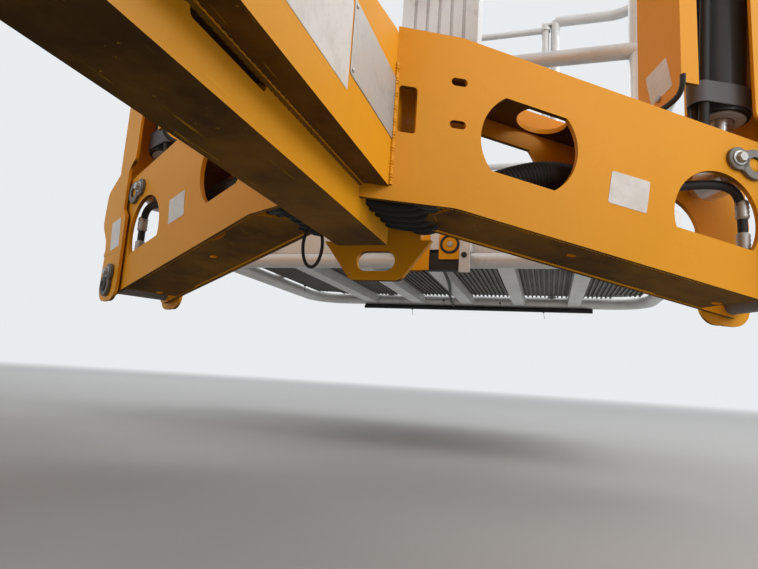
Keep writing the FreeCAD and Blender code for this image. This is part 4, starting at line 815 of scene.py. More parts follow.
class BOOMLIFT_OT_welds(bpy.types.Operator):
    """Lays weld beads along the box, round the beams' roots and along the beams' edges"""

    bl_idname = "boomlift.welds"
    bl_label = "Weld Beads"

    def execute(self, context):
        beads = []
        for y in (-TUBE_HALF, TUBE_HALF):
            back = (SHIFT_X - FRAME_HALF + 0.025, y, BOX_LOW)
            front = (SHIFT_X + FRAME_HALF - 0.01, y, BOX_LOW)
            beads.append(sweep(np.linspace(back, front, 700), 0.0042, 6, ripple=0.16, waves=230))
        for _, sign_x, sign_y in CORNERS:
            for y in (0.0, BEAM_WIDE):
                lean = math.tan(BEAM_ANGLE) * y
                low = (lean, y, BOX_LOW + 0.002)
                high = (lean, y, TUBE_LOW + 0.278)
                line = on_beam(np.linspace(low, high, 110), sign_x, sign_y)
                line = line[line[:, 2] < BOX_TOP]
                beads.append(sweep(line, 0.0045, 6, ripple=0.18, waves=38))
            for edge, inset in ((0.031, 0.002), (0.254, -0.002)):
                for y in (BEAM_PLATE, BEAM_WIDE - BEAM_PLATE):
                    u = np.linspace(0.07, 0.49, 150)
                    line = np.stack([u, np.full_like(u, y), beam_edge(u, edge) + inset], 1)
                    beads.append(sweep(on_beam(line, sign_x, sign_y), 0.0028, 6, ripple=0.16, waves=60))
        make_piece("frame_welds", beads, "weld", "chassis")
        return {"FINISHED"}


class BOOMLIFT_OT_labels(bpy.types.Operator):
    """Puts blank films and a bare data plate where the machine's plates and stickers are"""

    bl_idname = "boomlift.labels"
    bl_label = "Blank Labels"

    def execute(self, context):
        films = []
        for corner in CORNERS[:2]:
            films.append(beam_shape(self.film((0.360, 0.0, 0.450), (1, 0, 0), 0.064, 0.050, 8.5), corner))
            guard = self.film((GUARD, 0.039, 0.660), (0, -1, 0), 0.050, 0.058, -13.0)
            ear = self.film((0.637, -0.011, 0.434), (1, 0, 0), 0.050, 0.066, 8.0)
            make_piece("leg_label_" + corner[0], [guard, ear], "label", "leg_" + corner[0], corner=corner)
        make_piece("beam_labels", films, "label", "chassis")
        side = slab(rounded_outline(0.150, 0.103, 0.003), FILM_THICK, (SHIFT_X - 0.652, BOX_HALF, 0.5065),
                    (-1, 0, 0), (0, 0, 1), 0.0002)
        make_piece("side_label", [side], "label", "chassis")
        middle = np.array((SHIFT_X - 0.818, BOX_HALF, 0.5215))
        plate = slab(rounded_outline(0.174, 0.089, 0.004), 0.0012, middle, (-1, 0, 0), (0, 0, 1), 0.0004)
        rivets = [domed(middle + (dx, 0.0012, dz), (0, 1, 0), 0.0026, 0.0016)
                  for dx in (-0.081, 0.081) for dz in (-0.038, 0.038)]
        make_piece("data_plate", [plate] + rivets, "brushed_plate", "chassis")
        return {"FINISHED"}

    def film(self, middle, across, width, high, fall):
        """A thin rounded film on an upright face, turned by the beam's fall in degrees."""
        a = math.radians(-fall)
        across = np.asarray(across, float)
        up = np.array((0.0, 0.0, 1.0))
        turned = across * math.cos(a) + up * math.sin(a)
        square = up * math.cos(a) - across * math.sin(a)
        return slab(rounded_outline(width, high, 0.003), FILM_THICK, middle, turned, square, 0.0002)


class BOOMLIFT_OT_beam_hoses(bpy.types.Operator):
    """Runs the hoses inside the outrigger beams, the loom into their roots and the slack loop under one"""

    bl_idname = "boomlift.beam_hoses"
    bl_label = "Hoses in the Beams"

    # Along the beam, across and up: the corrugated conduit, and the hose that leaves it
    CONDUIT = (
        (0.080, 0.066, 0.418), (0.12, 0.070, 0.430), (0.18, 0.070, 0.456), (0.25, 0.070, 0.487),
        (0.31, 0.070, 0.486), (0.38, 0.066, 0.468), (0.44, 0.054, 0.470),
    )
    TAIL = (
        (0.400, 0.050, 0.470), (0.46, 0.040, 0.484), (0.52, 0.026, 0.493), (0.560, 0.022, 0.492),
        (0.5755, 0.022, 0.470), (0.5760, 0.022, 0.43), (0.5750, 0.022, 0.390), (0.565, 0.028, 0.362),
        (0.540, 0.036, 0.350),
    )
    CONDUIT_RADIUS = 0.0235
    ROOT_LANES = (0.026, 0.044, 0.064, 0.086, 0.104)

    def execute(self, context):
        hose = context.scene.boomlift.hose
        for corner in CORNERS:
            shapes = [
                sweep(smooth_path(self.CONDUIT, 340), self.CONDUIT_RADIUS, 16, ripple=0.055, waves=68),
                sweep(smooth_path(self.TAIL, 90), hose.radius, hose.sides),
            ]
            shapes += [self.root_hose(w, 0.003 * (i % 2), hose.sides) for i, w in enumerate(self.ROOT_LANES)]
            route = np.array(self.CONDUIT)
            for u in (0.16, 0.37):
                w, z = (np.interp(u, route[:, 0], route[:, k]) for k in (1, 2))
                shapes.append(strap([(w, z, self.CONDUIT_RADIUS + 0.0017)], u, 0.008, 0.0014))
            make_piece("beam_hoses_" + corner[0], shapes, "hose", "chassis", corner=corner)
            fittings = [self.ferrule((0.5760, 0.022, z), hose.radius) for z in (0.402, 0.455)]
            make_piece("beam_ferrules_" + corner[0], fittings, "zinc", "chassis", corner=corner)
        make_piece("slack_loop", [self.loop()], "hose", "chassis")
        # The loom is real hoses; their near-black sleeve is painted shade for the shadowed root.
        make_piece("root_loom", self.loom(1) + self.loom(-1), "black_sleeve", "chassis")
        return {"FINISHED"}

    def root_hose(self, w, lift, sides):
        """A hose from the box's side wall, down through the open root and up into the conduit."""
        wall = (0.004 + math.sin(BEAM_ANGLE) * w) / math.cos(BEAM_ANGLE)
        inner = 0.070 + (w - 0.066) * 0.3
        route = [
            (wall, w, 0.446), (wall + 0.008, w, 0.430), (wall + 0.020, w, 0.4035 + lift),
            (wall + 0.045, w, 0.4015), (0.118, (w + inner) / 2, 0.412), (0.150, inner, 0.440),
            (0.19, inner, 0.460),
        ]
        return sweep(smooth_path(route, 60), 0.0088, sides)

    def loom(self, side):
        """Hoses that cross into a beam's open root, some round the rear end of the spine box and some from
        the lower tube's side: each is a smooth path whose points shift by its share t of the bundle."""
        shapes = []
        for i in range(7):
            t = i / 6
            drop = 0.004 * (i % 2)
            points = np.array([
                (1.047, 0.020 + 0.046 * t, 0.4205), (1.058, 0.026 + 0.046 * t, 0.4200),
                (1.080 - 0.012 * t, 0.056 + 0.022 * t, 0.4120 - drop),
                (1.084 - 0.034 * t, 0.076 + 0.016 * t, 0.4010 - drop),
                (1.076 - 0.045 * t, 0.104 + 0.010 * t, 0.4000 - drop),
                (1.062 - 0.050 * t, 0.124 + 0.006 * t, 0.4080), (1.050 - 0.050 * t, 0.136, 0.4320),
            ])
            shapes.append(self.strand(points, side))
        for i in range(8):
            near = 0.915 + 0.0138 * i
            across = np.array([0.0405, 0.052, 0.072, 0.096, 0.114, 0.130])
            up = np.array([0.398, 0.3950, 0.3940, 0.3960, 0.4080, 0.4320]) - 0.003 * (i % 2)
            back = near + math.tan(BEAM_ANGLE) * (across - 0.0405)
            shapes.append(self.strand(np.stack([back, across, up], 1), side))
        return shapes

    def strand(self, points, side):
        """A hose of the loom: distance from the slew axis, across and up become places in the frame."""
        points = points * (-1.0, side, 1.0) + (SHIFT_X, 0.0, 0.0)
        return sweep(smooth_path(points, 56), 0.0074, 12)

    def ferrule(self, centre, radius):
        """A crimped sleeve round an upright hose: rings of two radii along it."""
        rings = [(radius * (1.38 if i % 2 else 1.24), h) for i, h in enumerate(np.linspace(-0.014, 0.014, 9))]
        profile = [(radius * 1.05, -0.0155)] + rings + [(radius * 1.05, 0.0155)]
        return lathe(profile, centre, (0, 0, 1), 20)

    def loop(self):
        """A thin hose that hangs out of the open root and goes back in."""
        centre = on_beam([(0.040, 0.085, 0.353)], -1, -1)[0]
        line = (
            (-0.009, 0.0575), (-0.008, 0.052), (-0.003, 0.042), (0.013, 0.024), (0.0175, 0.0),
            (0.012, -0.027), (0.0, -0.036), (-0.012, -0.027), (-0.0175, 0.0), (-0.013, 0.024),
            (0.003, 0.042), (0.008, 0.052), (0.009, 0.0575),
        )
        points = [centre + (0.006 * i / 12 - 0.003, y, z) for i, (y, z) in enumerate(line)]
        return sweep(smooth_path(points, 90), 0.00265, 10)


class BOOMLIFT_OT_leg_hoses(bpy.types.Operator):
    """Adds each leg cylinder's hoses, its strap, gland collar and ports, and the guard's rubber edge"""

    bl_idname = "boomlift.leg_hoses"
    bl_label = "Leg Hoses and Edges"

    LANE = 0.0612           # cylinder's centre line to the hoses beside it
    MIDDLE = 0.064          # cylinder's centre line, across the beam
    GLAND = 0.6215          # height of the gland's collar

    def execute(self, context):
        for corner in CORNERS:
            self.barrel_side(corner, context.scene.boomlift.hose)
            self.edge(corner)
        return {"FINISHED"}

    def axis_at(self, z):
        """Where the cylinder's centre line is along the beam, at a height."""
        return STRUT[0] + (HEAD[0] - STRUT[0]) * (z - STRUT[1]) / (HEAD[1] - STRUT[1])

    def barrel_side(self, corner, settings):
        """Two hoses up a barrel with their end fittings, two straps round them and the gland's collar."""
        body = "strut_barrel_" + corner[0]
        radius = settings.radius + 0.001
        hoses = []
        metal = []
        nut = [(0.0112, 0), (0.0112, 0.010), (0.0095, 0.0112), (0.0095, 0.018)]
        for w, top in ((0.0315, 1.096), (0.0490, 1.060)):
            heights = (0.552, 0.60, 0.65, 0.75, 0.88, 0.98, top - 0.05)
            line = [(self.axis_at(z) - self.LANE, w, z) for z in heights]
            line.append((self.axis_at(top) - 0.057, w + 0.003, top - 0.012))
            line.append((self.axis_at(top) - 0.040, 0.058, top))
            hoses.append(sweep(smooth_path(line, 80), radius, settings.sides, ripple=0.02, waves=90))
            metal.append(lathe(nut, (self.axis_at(top) - 0.044, 0.0565, top - 0.001), (-1, -0.25, -0.12), 6))
        straps = []
        for z, wide in ((0.6495, 0.0440), (1.02, 0.0388)):
            round_both = (self.axis_at(z) - self.LANE, 0.0400, radius + 0.0095)
            circles = [(self.axis_at(z), self.MIDDLE, wide), round_both]
            straps.append(band(circles, z - 0.018, z + 0.018, 0.0022))
        run = np.array([self.axis_at(1.0) - self.axis_at(0.0), 0.0, 1.0])
        collar = [(0.0205, 0), (0.034, 0), (0.0375, 0.0015), (0.0375, 0.0046), (0.0205, 0.0046)]
        low = (self.axis_at(self.GLAND), self.MIDDLE, self.GLAND)
        metal.append(lathe(collar, low, run, 40, ring=True))
        make_piece("leg_hoses_" + corner[0], hoses, "hose", body, corner=corner)
        make_piece("leg_straps_" + corner[0], straps, "grey_webbing", body, corner=corner)
        make_piece("leg_ports_" + corner[0], metal, "zinc", body, corner=corner)

    def edge(self, corner):
        """A rubber strip over the rounded lower end of the guard, and the bolts of the guard and the leg."""
        leg = "leg_" + corner[0]
        low = beam_edge(GUARD, 0.285) + 0.026
        route = (
            (-0.0105, 0.034), (-0.0105, 0.022), (-0.006, 0.008), (0.008, 0.0), (0.04, -0.0005),
            (0.074, 0.0), (0.086, 0.007), (0.0905, 0.022), (0.0905, 0.034),
        )
        line = [(GUARD + 0.003, w, low + z) for w, z in route]
        strip = sweep(smooth_path(line, 70), 0.0052, 10, flat=0.75)
        make_piece("guard_edge_" + corner[0], [strip], "hose", leg, corner=corner)
        spots = ((0.040, low + 0.018), (0.010, 1.24), (0.070, 1.24))
        heads = [domed((GUARD, w, z), (-1, 0, 0), 0.006, 0.004) for w, z in spots]
        for w in (0.03, 0.098):
            for z in (1.10, 1.17):
                heads.append(hex_head((PIVOT[0] + 0.024, w, z), (1, 0, 0), 0.013, 0.006))
        make_piece("leg_bolts_" + corner[0], heads, "zinc", leg, corner=corner)


class BOOMLIFT_OT_leg_ears(bpy.types.Operator):
    """Widens the flanges of the legs round their pivots: a bulge outboard and a wider ear inboard"""

    bl_idname = "boomlift.leg_ears"
    bl_label = "Leg Ears"

    THICK = 0.0066

    def execute(self, context):
        shapes = []
        for w, away, reach in ((-0.0047, -1, 0.082), (0.1327, 1, 0.056)):
            shapes += [self.plate(outline, w, away) for outline in (self.bulge(reach), self.ear())]
        for corner in CORNERS:
            make_piece("leg_ears_" + corner[0], shapes, "orange", "leg_" + corner[0], corner=corner)
        return {"FINISHED"}

    def plate(self, outline, w, away):
        """A plate on a flange, with its broken edge away from the beam."""
        if away > 0:
            outline = outline * (-1, 1)
        return slab(outline, self.THICK, (0, w, 0), (-away, 0, 0), (0, 0, 1), 0.0005)

    def bulge(self, reach):
        """Outline of the part that swells outboard above the pivot, as far as reach."""
        u, z = PIVOT
        points = [
            (u - 0.033, z + 0.071), (u + 0.0525, z + 0.066), (u + 0.038, z + 0.092), (u + reach, z + 0.145),
            (u + reach - 0.008, z + 0.222), (u + 0.0145, z + 0.256), (u - 0.033, z + 0.256),
        ]
        return filleted(points, (0.0, 0.004, 0.024, 0.040, 0.030, 0.020, 0.0))

    def ear(self):
        """Outline of the narrow strip inboard of the pivot."""
        u, z = PIVOT
        points = [
            (u - 0.054, z - 0.036), (u - 0.012, z - 0.036), (u - 0.024, z - 0.024), (u - 0.033, z - 0.010),
            (u - 0.033, z + 0.166), (u - 0.038, z + 0.166), (u - 0.054, z + 0.150),
        ]
        return filleted(points, (0.034, 0.0, 0.0, 0.0, 0.0, 0.006, 0.008))


class BOOMLIFT_OT_frame_fittings(bpy.types.Operator):
    """Adds the lamps' bezels, the frame's bolts and screws, the jack's grip and the ribs of the rest's pad"""

    bl_idname = "boomlift.frame_fittings"
    bl_label = "Frame Fittings"

    def execute(self, context):
        screws = self.bezels() + self.bolts()
        make_piece("frame_screws", screws, "zinc", "chassis")
        low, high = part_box("jack_housing")
        ribs = [(0.0152 if i % 2 else 0.0142, 0.004 + i * 0.0055) for i in range(13)]
        profile = [(0.0132, 0.0)] + ribs + [(0.0132, 0.077), (0.006, 0.0795)]
        grip = lathe(profile, (high[0] - 0.013, low[1] + 0.080, CRANK_Z), (0, -1, 0), 24)
        make_piece("jack_grip", [grip], "black_plastic", "chassis")
        ribs = []
        for i in range(7):
            x = REST_X - 0.036 + i * 0.012
            for y in (-0.0508, 0.0508):
                ribs.append(sweep(np.linspace((x, y, 1.284), (x, y, 1.3035), 8), 0.0022, 8))
        make_piece("rest_pad_ribs", ribs, "hose", "chassis")
        return {"FINISHED"}

    def bezels(self):
        """Makes two rings round each rear lamp, and returns their screws."""
        rings = []
        screws = []
        outer = [(0.0565, 0.0), (0.0625, 0.0), (0.0625, 0.008), (0.0590, 0.0155), (0.0565, 0.0155)]
        inner = [(0.0465, 0.0215), (0.0500, 0.0215), (0.0500, 0.0275), (0.0480, 0.0295), (0.0465, 0.0285)]
        centre = (LAMP, BEAM_WIDE, beam_edge(LAMP, 0.285) - 0.120)
        for corner in CORNERS[:2]:
            for profile in (outer, inner):
                rings.append(beam_shape(lathe(profile, centre, (0, 1, 0), 44, ring=True), corner))
            for a in (0.6, 2.7, 4.8):
                spot = (LAMP + 0.0535 * math.cos(a), BEAM_WIDE + 0.0218, centre[2] + 0.0535 * math.sin(a))
                screws.append(beam_shape(domed(spot, (0, 1, 0), 0.0032, 0.0022), corner))
        make_piece("lamp_bezels", rings, "black_plastic", "chassis")
        return screws

    def bolts(self):
        """Heads on the drawbar's end plate, the coupler with its latch pin, and the jack's bracket."""
        heads = []
        low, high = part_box("drawbar")
        for y in (-0.062, 0.062):
            for z in (low[2] + 0.015, high[2] - 0.035):
                heads.append(hex_head((low[0] + 0.012, y, z), (1, 0, 0), 0.019, 0.010))
        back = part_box("coupler")[0][0]
        for x in (back + 0.03, back + 0.09):
            for side in (-1, 1):
                heads.append(hex_head((x, side * 0.040, 0.355), (0, side, 0), 0.019, 0.009))
        for side in (-1, 1):
            heads.append(domed((back + 0.085, side * 0.012, 0.432), (0, side, 0), 0.008, 0.006))
        for x in (JACK_X - 0.045, JACK_X + 0.045):
            for z in (0.318, 0.404):
                heads.append(hex_head((x, -0.060, z), (0, -1, 0), 0.017, 0.008))
        return heads


class BOOMLIFT_OT_turntable_fittings(bpy.types.Operator):
    """Adds ring bolts, pin caps, and the covers' latches, hinges, louvres and seals"""

    bl_idname = "boomlift.turntable_fittings"
    bl_label = "Turntable Fittings"

    # Place along X, height and radius: the riser's pin, the tie bars' and the cylinder's
    PINS = ((-0.949, RISER_Z, 0.020), (-1.049, 1.550, 0.016), (-0.899, 0.830, 0.020))
    BACK = -1.079           # the covers' ends
    FRONT = -0.079

    def execute(self, context):
        bolts = []
        for i in range(20):
            a = 2 * math.pi * (i + 0.5) / 20
            spot = (SHIFT_X + 0.319 * math.cos(a), 0.319 * math.sin(a), 0.741)
            bolts.append(hex_head(spot, (0, 0, -1), 0.019, 0.011))
        for x, z, r in self.PINS:
            cap = [(r + 0.0085, 0), (r + 0.0085, 0.002), (r + 0.006, 0.0032), (0.005, 0.0034)]
            for side in (-1, 1):
                bolts.append(lathe(cap, (x, side * 0.150, z), (0, side, 0), 32))
                bolts.append(domed((x, side * 0.1534, z), (0, side, 0), 0.0038, 0.009))
        make_piece("turntable_bolts", bolts, "zinc", "turntable")
        deck = []
        for sx in (-1, 1):
            for sy in (-1, 1):
                deck.append(hex_head((SHIFT_X + sx * 0.275, sy * 0.275, 0.605), (0, 0, 1), 0.024, 0.014))
        make_piece("pedestal_bolts", deck, "zinc", "chassis")
        self.cover("left", 1, self.BACK + 0.235)
        self.cover("right", -1, self.FRONT - 0.415)
        return {"FINISHED"}

    def cover(self, side, sign, first):
        """A cover's latches and hinges, its louvres from the first on, and the seals at its lower edge."""
        face = sign * 0.500
        latch = (
            (rounded_outline(0.062, 0.040, 0.008), 0.004, 0.860, 0.0015),
            (rounded_outline(0.018, 0.034, 0.006), 0.0085, 0.858, 0.003),
        )
        metal = []
        for x in (self.BACK + 0.16, self.FRONT - 0.16):
            for outline, thick, z, edge in latch:
                metal.append(slab(outline, thick, (x, face, z), (-sign, 0, 0), (0, 0, 1), edge))
        hinge = [
            (0.0065, 0), (0.0065, 0.025), (0.0055, 0.0255), (0.0055, 0.0275), (0.0065, 0.028),
            (0.0065, 0.055),
        ]
        for x in (self.BACK + 0.10, (self.BACK + self.FRONT) / 2, self.FRONT - 0.10):
            metal.append(lathe(hinge, (x - 0.0275, sign * 0.156, 1.1905), (1, 0, 0), 16))
        make_piece("cover_fittings_" + side, metal, "zinc", "turntable")
        louvres = [self.louvre(first + i * 0.030, face) for i in range(7)]
        make_piece("cover_louvres_" + side, louvres, "orange", "turntable")
        end = smooth_path([(self.BACK + 0.012, sign * y, 0.7665) for y in (0.438, 0.300, 0.160)], 30)
        edge = sign * 0.4375
        long = np.linspace((self.BACK + 0.01, edge, 0.767), (self.FRONT - 0.01, edge, 0.767), 60)
        seals = [sweep(line, 0.0025, 8) for line in (end, long)]
        make_piece("cover_seal_" + side, seals, "hose", "turntable")

    def louvre(self, x, face):
        """An upright rib with rounded ends: the radius of a sweep times sin(s)^0.35, s from 0 to pi."""
        line = np.linspace((x, face, 0.915), (x, face, 1.010), 14)
        swell = np.maximum(np.sin(np.linspace(0, math.pi, 14)) ** 0.35, 0.05)
        points, faces = sweep(line, 0.0075, 10)
        points = line[:, None] + (points.reshape(14, 10, 3) - line[:, None]) * swell[:, None, None]
        return points.reshape(-1, 3), faces


class BOOMLIFT_OT_boom_fittings(bpy.types.Operator):
    """Adds the booms' hoses with their clips, wear pads, pad screws and the caps of the knuckle's pins"""

    bl_idname = "boomlift.boom_fittings"
    bl_label = "Boom Fittings"

    PAD_X = -1.690          # wear pads, in the open end of the upper boom
    APART = 0.0098          # half the distance between the two hoses
    GAP = 0.40              # between two low points of a hose

    def execute(self, context):
        settings = context.scene.boomlift.hose
        self.hoses("riser", settings, 0.055, RISER_Z, (-0.78, 1.46), (-0.55, -0.15, 0.25, 0.90, 1.30))
        clips = (-1.45, -0.95, -0.45, 0.05, 0.55, 1.05)
        self.hoses("boom", settings, -0.060, BOOM_Z, (-1.66, 1.36), clips)
        pads = []
        screws = []
        upright = rounded_outline(0.060, 0.100, 0.004)
        flat = rounded_outline(0.060, 0.080, 0.004)
        x = self.PAD_X
        for side in (-1, 1):
            pads.append(slab(upright, 0.0062, (x, side * 0.0465, BOOM_Z), (-side, 0, 0), (0, 0, 1), 0.001))
            pads.append(slab(flat, 0.0080, (x, 0, BOOM_Z + side * 0.0595), (side, 0, 0), (0, 1, 0), 0.001))
            for z in (BOOM_Z - 0.035, BOOM_Z + 0.035):
                for at in (x - 0.015, x + 0.015):
                    screws.append(hex_head((at, side * 0.060, z), (0, side, 0), 0.010, 0.005))
        make_piece("wear_pads", pads, "white_plastic", "boom")
        make_piece("pad_screws", screws, "zinc", "boom")
        caps = []
        for at, z, r in ((KNUCKLE_X, RISER_Z, 0.020), (KNUCKLE_X, BOOM_Z, 0.020), (*HEAD_PIN, 0.016)):
            cap = [(r + 0.009, 0), (r + 0.009, 0.005), (r + 0.006, 0.0068), (0.004, 0.007)]
            for side in (-1, 1):
                caps.append(lathe(cap, (at, side * 0.084, z), (0, side, 0), 30))
                caps.append(domed((at, side * 0.091, z), (0, side, 0), 0.0038, 0.008))
        make_piece("knuckle_caps", caps, "dark_steel", "knuckle")
        return {"FINISHED"}

    def hoses(self, body, settings, face, z, ends, clips):
        """Two hoses along a boom's side, with clips over both and crimped ends. They sag from the start on
        by 3 mm times sin^2(pi x / gap)."""
        away = 1 if face > 0 else -1
        r = settings.radius
        y = face + away * (r + 0.0012)
        heights = (z - self.APART, z + self.APART)
        x = np.linspace(*ends, 160)
        sag = 0.003 * np.sin(math.pi * (x - ends[0]) / self.GAP) ** 2
        lines = [np.stack([x, np.full_like(x, y), height - sag], 1) for height in heights]
        make_piece("hoses_on_" + body, [sweep(line, r, settings.sides) for line in lines], "hose", body)
        metal = []
        tab = rounded_outline(0.018, 0.030, 0.005)
        for at in clips:
            circles = [(face + away * 0.009, z + low, 0.0098) for low in (-0.0115, 0.0085)]
            metal.append(strap(circles, at, 0.018, 0.0014))
            metal.append(hex_head((at, face, z + 0.027), (0, away, 0), 0.010, 0.006))
            metal.append(slab(tab, 0.0016, (at, face, z + 0.024), (-away, 0, 0), (0, 0, 1), 0.0003))
        crimp = [(r * 1.3, -0.02), (r * 1.3, 0.0), (r * 1.1, 0.001), (r * 1.1, 0.012), (r * 0.6, 0.013)]
        for at, way in zip(ends, (-1, 1)):
            metal += [lathe(crimp, (at, y, height), (way, 0, 0), 18) for height in heights]
        make_piece("clips_on_" + body, metal, "zinc", body)


class BOOMLIFT_OT_controls(bpy.types.Operator):
    """Fits out the two control boxes: switches, a key switch, a stop button and blank faceplates"""

    bl_idname = "boomlift.controls"
    bl_label = "Control Boxes"

    def execute(self, context):
        low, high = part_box("ground_controls")
        centre = ((low[0] + high[0]) / 2, low[1], (low[2] + high[2]) / 2)
        size = (high[0] - low[0], high[2] - low[2])
        self.panel("ground", centre, size, (1, 0, 0), (0, 0, 1), (0, -1, 0), "turntable")
        low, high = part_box("platform_controls")
        centre = ((low[0] + high[0]) / 2, (low[1] + high[1]) / 2, high[2])
        size = (high[1] - low[1], high[0] - low[0])
        self.panel("basket", centre, size, (0, 1, 0), (-1, 0, 0), (0, 0, 1), "platform")
        return {"FINISHED"}

    def panel(self, name, centre, size, across, up, out, body):
        """Everything is placed by shares of the face's width and height from its centre."""
        wide, high = size
        centre, across, up, out = (np.asarray(v, float) for v in (centre, across, up, out))

        def at(u, v, lift=0.0):
            return centre + across * (u * wide) + up * (v * high) + out * lift

        plate = slab(rounded_outline(wide * 0.92, high * 0.86, 0.006), 0.0016, at(0, 0), across, up, 0.0005)
        make_piece(name + "_faceplate", [plate], "brushed_plate", body)
        metal = []
        levers = []
        nut = [(0.0075, 0), (0.0075, 0.0022), (0.006, 0.003)]
        lever = [(0.0052, 0), (0.0042, 0.005), (0.0026, 0.009), (0.0028, 0.02), (0.0022, 0.0225)]
        for i in range(5):
            for row, v in ((1, 0.22), (0, -0.16)):
                u = -0.36 + 0.145 * i
                tilt = 0.18 if (i + row) % 2 else -0.18
                metal.append(lathe(nut, at(u, v, 0.0016), out, 6))
                levers.append(lathe(lever, at(u, v, 0.003), out + up * tilt, 14))
        key = [(0.011, 0), (0.011, 0.004), (0.0095, 0.0055), (0.0045, 0.0056), (0.0045, 0.0045)]
        metal.append(lathe(key, at(0.38, 0.24, 0.0016), out, 28))
        bow = rounded_outline(0.003, 0.018, 0.001, 3)
        metal.append(slab(bow, 0.016, at(0.38, 0.24, 0.006), across, up, 0.0006))
        for u in (-0.44, 0.44):
            for v in (-0.40, 0.40):
                metal.append(domed(at(u, v, 0.0016), out, 0.0032, 0.0022))
        make_piece(name + "_switches", metal, "zinc", body)
        make_piece(name + "_levers", levers, "black_plastic", body)
        collar = [(0.0185, 0), (0.0185, 0.002), (0.017, 0.003)]
        button = [
            (0.009, 0), (0.009, 0.008), (0.0150, 0.010), (0.0160, 0.013), (0.0150, 0.0175), (0.009, 0.020),
            (0.002, 0.0206),
        ]
        collar = lathe(collar, at(0.36, -0.18, 0.0016), out, 32)
        button = lathe(button, at(0.36, -0.18, 0.0045), out, 32)
        make_piece(name + "_stop_collar", [collar], "yellow_plastic", body)
        make_piece(name + "_stop_button", [button], "red_plastic", body)


